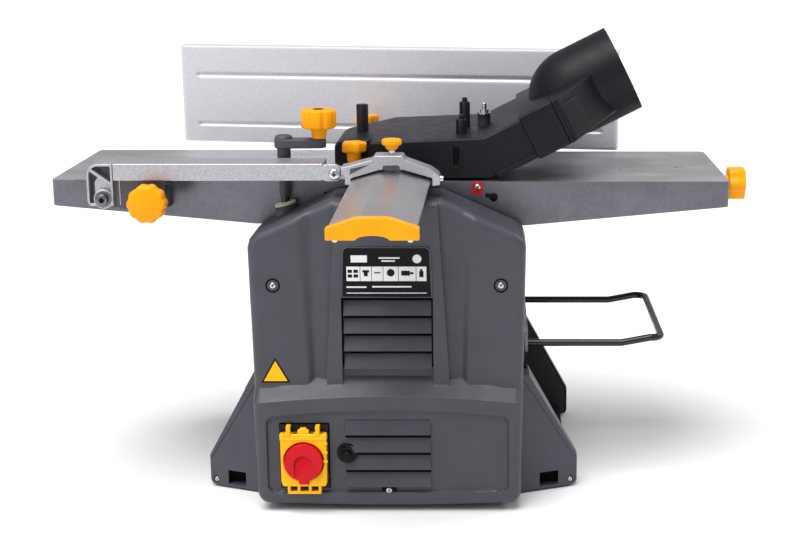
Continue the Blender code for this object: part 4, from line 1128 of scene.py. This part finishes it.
# ---- switch ----------------------------------------------------------------------------
def build_switch():
    bm, done = piece("lid_shell", SWITCH_YELLOW, "lid", "switch_lid", bevel=1.6)
    x, z, radius = -89.5, 59.0, 21.4
    hole = ring(x, z, radius, 48)
    outer = []
    for u, v in hole:
        du, dv = u - x, v - z
        reach = min(24.5 / max(abs(du) / radius, 1e-6), 29.5 / max(abs(dv) / radius, 1e-6))
        outer.append((x + du / radius * reach, max(31.0, min(90.0, z + 1.5 + dv / radius * reach))))
    sections = [[point("Y", u, v, w) for u, v in shape]
                for shape, w in ((outer, -97.9), (outer, -105), (hole, -105), (hole, -97.9),
                                 (outer, -97.9))]
    add_loft(bm, sections, caps=False)
    done()
    bm, done = piece("lid_top", SWITCH_YELLOW, "lid", bevel=1.4)
    notched = [(-114.5, 82.5), (-114.5, 90)]
    for lug in (-105, -74):
        notched += [(lug - 3.5, 90), (lug - 3.5, 85.5), (lug + 3.5, 85.5), (lug + 3.5, 90)]
    add_prism(bm, "Y", notched + [(-64.5, 90), (-64.5, 82.5)], -105.8, -98)
    add_box(bm, (-95.5, -83.5), (-104, -98.8), (89, 94))
    add_box(bm, (-93, -86), (-104, -98.8), (93.5, 96))
    done()
    bm, done = piece("lid_hinge_lugs", SWITCH_YELLOW, "body", bevel=1.2)
    for low in (-107.6, -76.6):
        add_box(bm, (low, low + 5), (-106, -97.6), (88, 99))
    done()
    bm, done = piece("lid_side_ribs", SWITCH_YELLOW, "lid", bevel=0.5)
    for low in (58, 68, 78):
        add_box(bm, (-68.5, -64), (-106.2, -104), (low, low + 3))
    done()
    bm, done = piece("lid_loop", SWITCH_YELLOW, "lid", bevel=0.9)
    add_box(bm, (-107.5, -71.5), (-104.5, -99), (22.5, 25.2))
    for low in (-107.5, -74.5):
        add_box(bm, (low, low + 3), (-104.5, -99), (23, 33))
    add_box(bm, (-97, -94), (-104.5, -99), (23, 33))
    add_box(bm, (-85, -82), (-104.5, -99), (23, 33))
    done()
    # red disc with a thumb recess open at the bottom
    bm, done = piece("stop_disc", RED, "paddle", "stop_paddle", bevel=1.0, smooth=40)
    add_turned(bm, "Y", x, z, ((-98.5, 20.4), (-107.4, 20.4), (-107.5, 19.9)), 64)
    done()
    bm, done = piece("stop_disc_rim", RED, "paddle", bevel=0.8)
    notch = [(x + 20.2 * math.cos(a), z + 20.2 * math.sin(a))
             for a in [math.radians(-58 + 296 * i / 40) for i in range(41)]]
    inner = [(x - 10, z - 17)] + [(x + 10 * math.cos(a), z - 2 + 10 * math.sin(a))
                                  for a in [math.radians(180 - 15 * i) for i in range(13)]]
    inner.append((x + 10, z - 17))
    add_prism(bm, "Y", notch + inner, -109.6, -107)
    done()
    bm, done = piece("stop_tongue", RED, "paddle", bevel=1.0)
    add_box(bm, (x - 5.5, x + 5.5), (-107, -99), (34, 41.5))
    done()
    bm, done = piece("reset_cap", PLATE_BLACK, "reset", "reset_button", smooth=40)
    add_turned(bm, "Y", -44, 66, ((-92, 5.2), (-102, 5.2), (-103.6, 4.2), (-103.8, 2.5)), 32)
    done()
    bm, done = piece("reset_nut", PLATE_BLACK, "body", bevel=0.5)
    add_turned(bm, "Y", -44, 66, ((-90, 11), (-97.2, 11), (-97.4, 10)), 36)
    add_prism(bm, "Y", ring(-44, 66, 8.2, 6), -101, -97)
    done()


# ---- stage, light and camera -----------------------------------------------------------
def build_stage():
    floor = Paint("pale_floor", (0.86, 0.86, 0.865), 0.6)
    floor.mottle(floor.noise(1.5, 2), 0.01)
    bpy.ops.mesh.primitive_plane_add(size=60, location=(0, 2, -0.0005))
    plane = bpy.context.object
    plane.name = "floor"
    plane.data.materials.append(floor.material)

    world = bpy.data.worlds.new("studio")
    bpy.context.scene.world = world
    world.use_nodes = True
    backdrop = world.node_tree.nodes["Background"]
    backdrop.inputs["Color"].default_value = (1.0, 1.0, 1.0, 1.0)
    backdrop.inputs["Strength"].default_value = 0.40

    sky = bpy.data.lights.new("overhead", "SUN")
    sky.energy = 3.5
    sky.angle = math.radians(45)
    aim_lamp("overhead", sky, (-0.5, -0.75, 2.7))
    for name, spot, size, power in (("key", (-1.7, -1.7, 1.5), 1.1, 10),
                                    ("rim", (1.9, 0.9, 1.7), 1.2, 16)):
        light = bpy.data.lights.new(name, "AREA")
        light.energy = power
        light.size = size
        aim_lamp(name, light, spot)
    bpy.context.scene.view_settings.view_transform = "Standard"


def aim_lamp(name, light, spot):
    lamp = bpy.data.objects.new(name, light)
    lamp.location = spot
    toward = Vector((0, 0, 0.25)) - Vector(spot)
    lamp.rotation_euler = toward.to_track_quat("-Z", "Y").to_euler()
    bpy.context.scene.collection.objects.link(lamp)


def build_camera():
    data = bpy.data.cameras.new("camera")
    data.lens = 68.3
    data.sensor_width = 36.0
    data.shift_x = -0.116
    camera = bpy.data.objects.new("camera", data)
    camera.location = place(111, -1626, 624)
    camera.rotation_euler = (math.radians(90 - 13.04), 0, 0)
    bpy.context.scene.collection.objects.link(camera)
    bpy.context.scene.camera = camera


build_camera()
build_stage()
dress_nodes()
build_casing()
build_label()
build_tables()
build_feet()
build_wire()
build_crank()
build_guard()
build_hood()
build_fence()
build_switch()
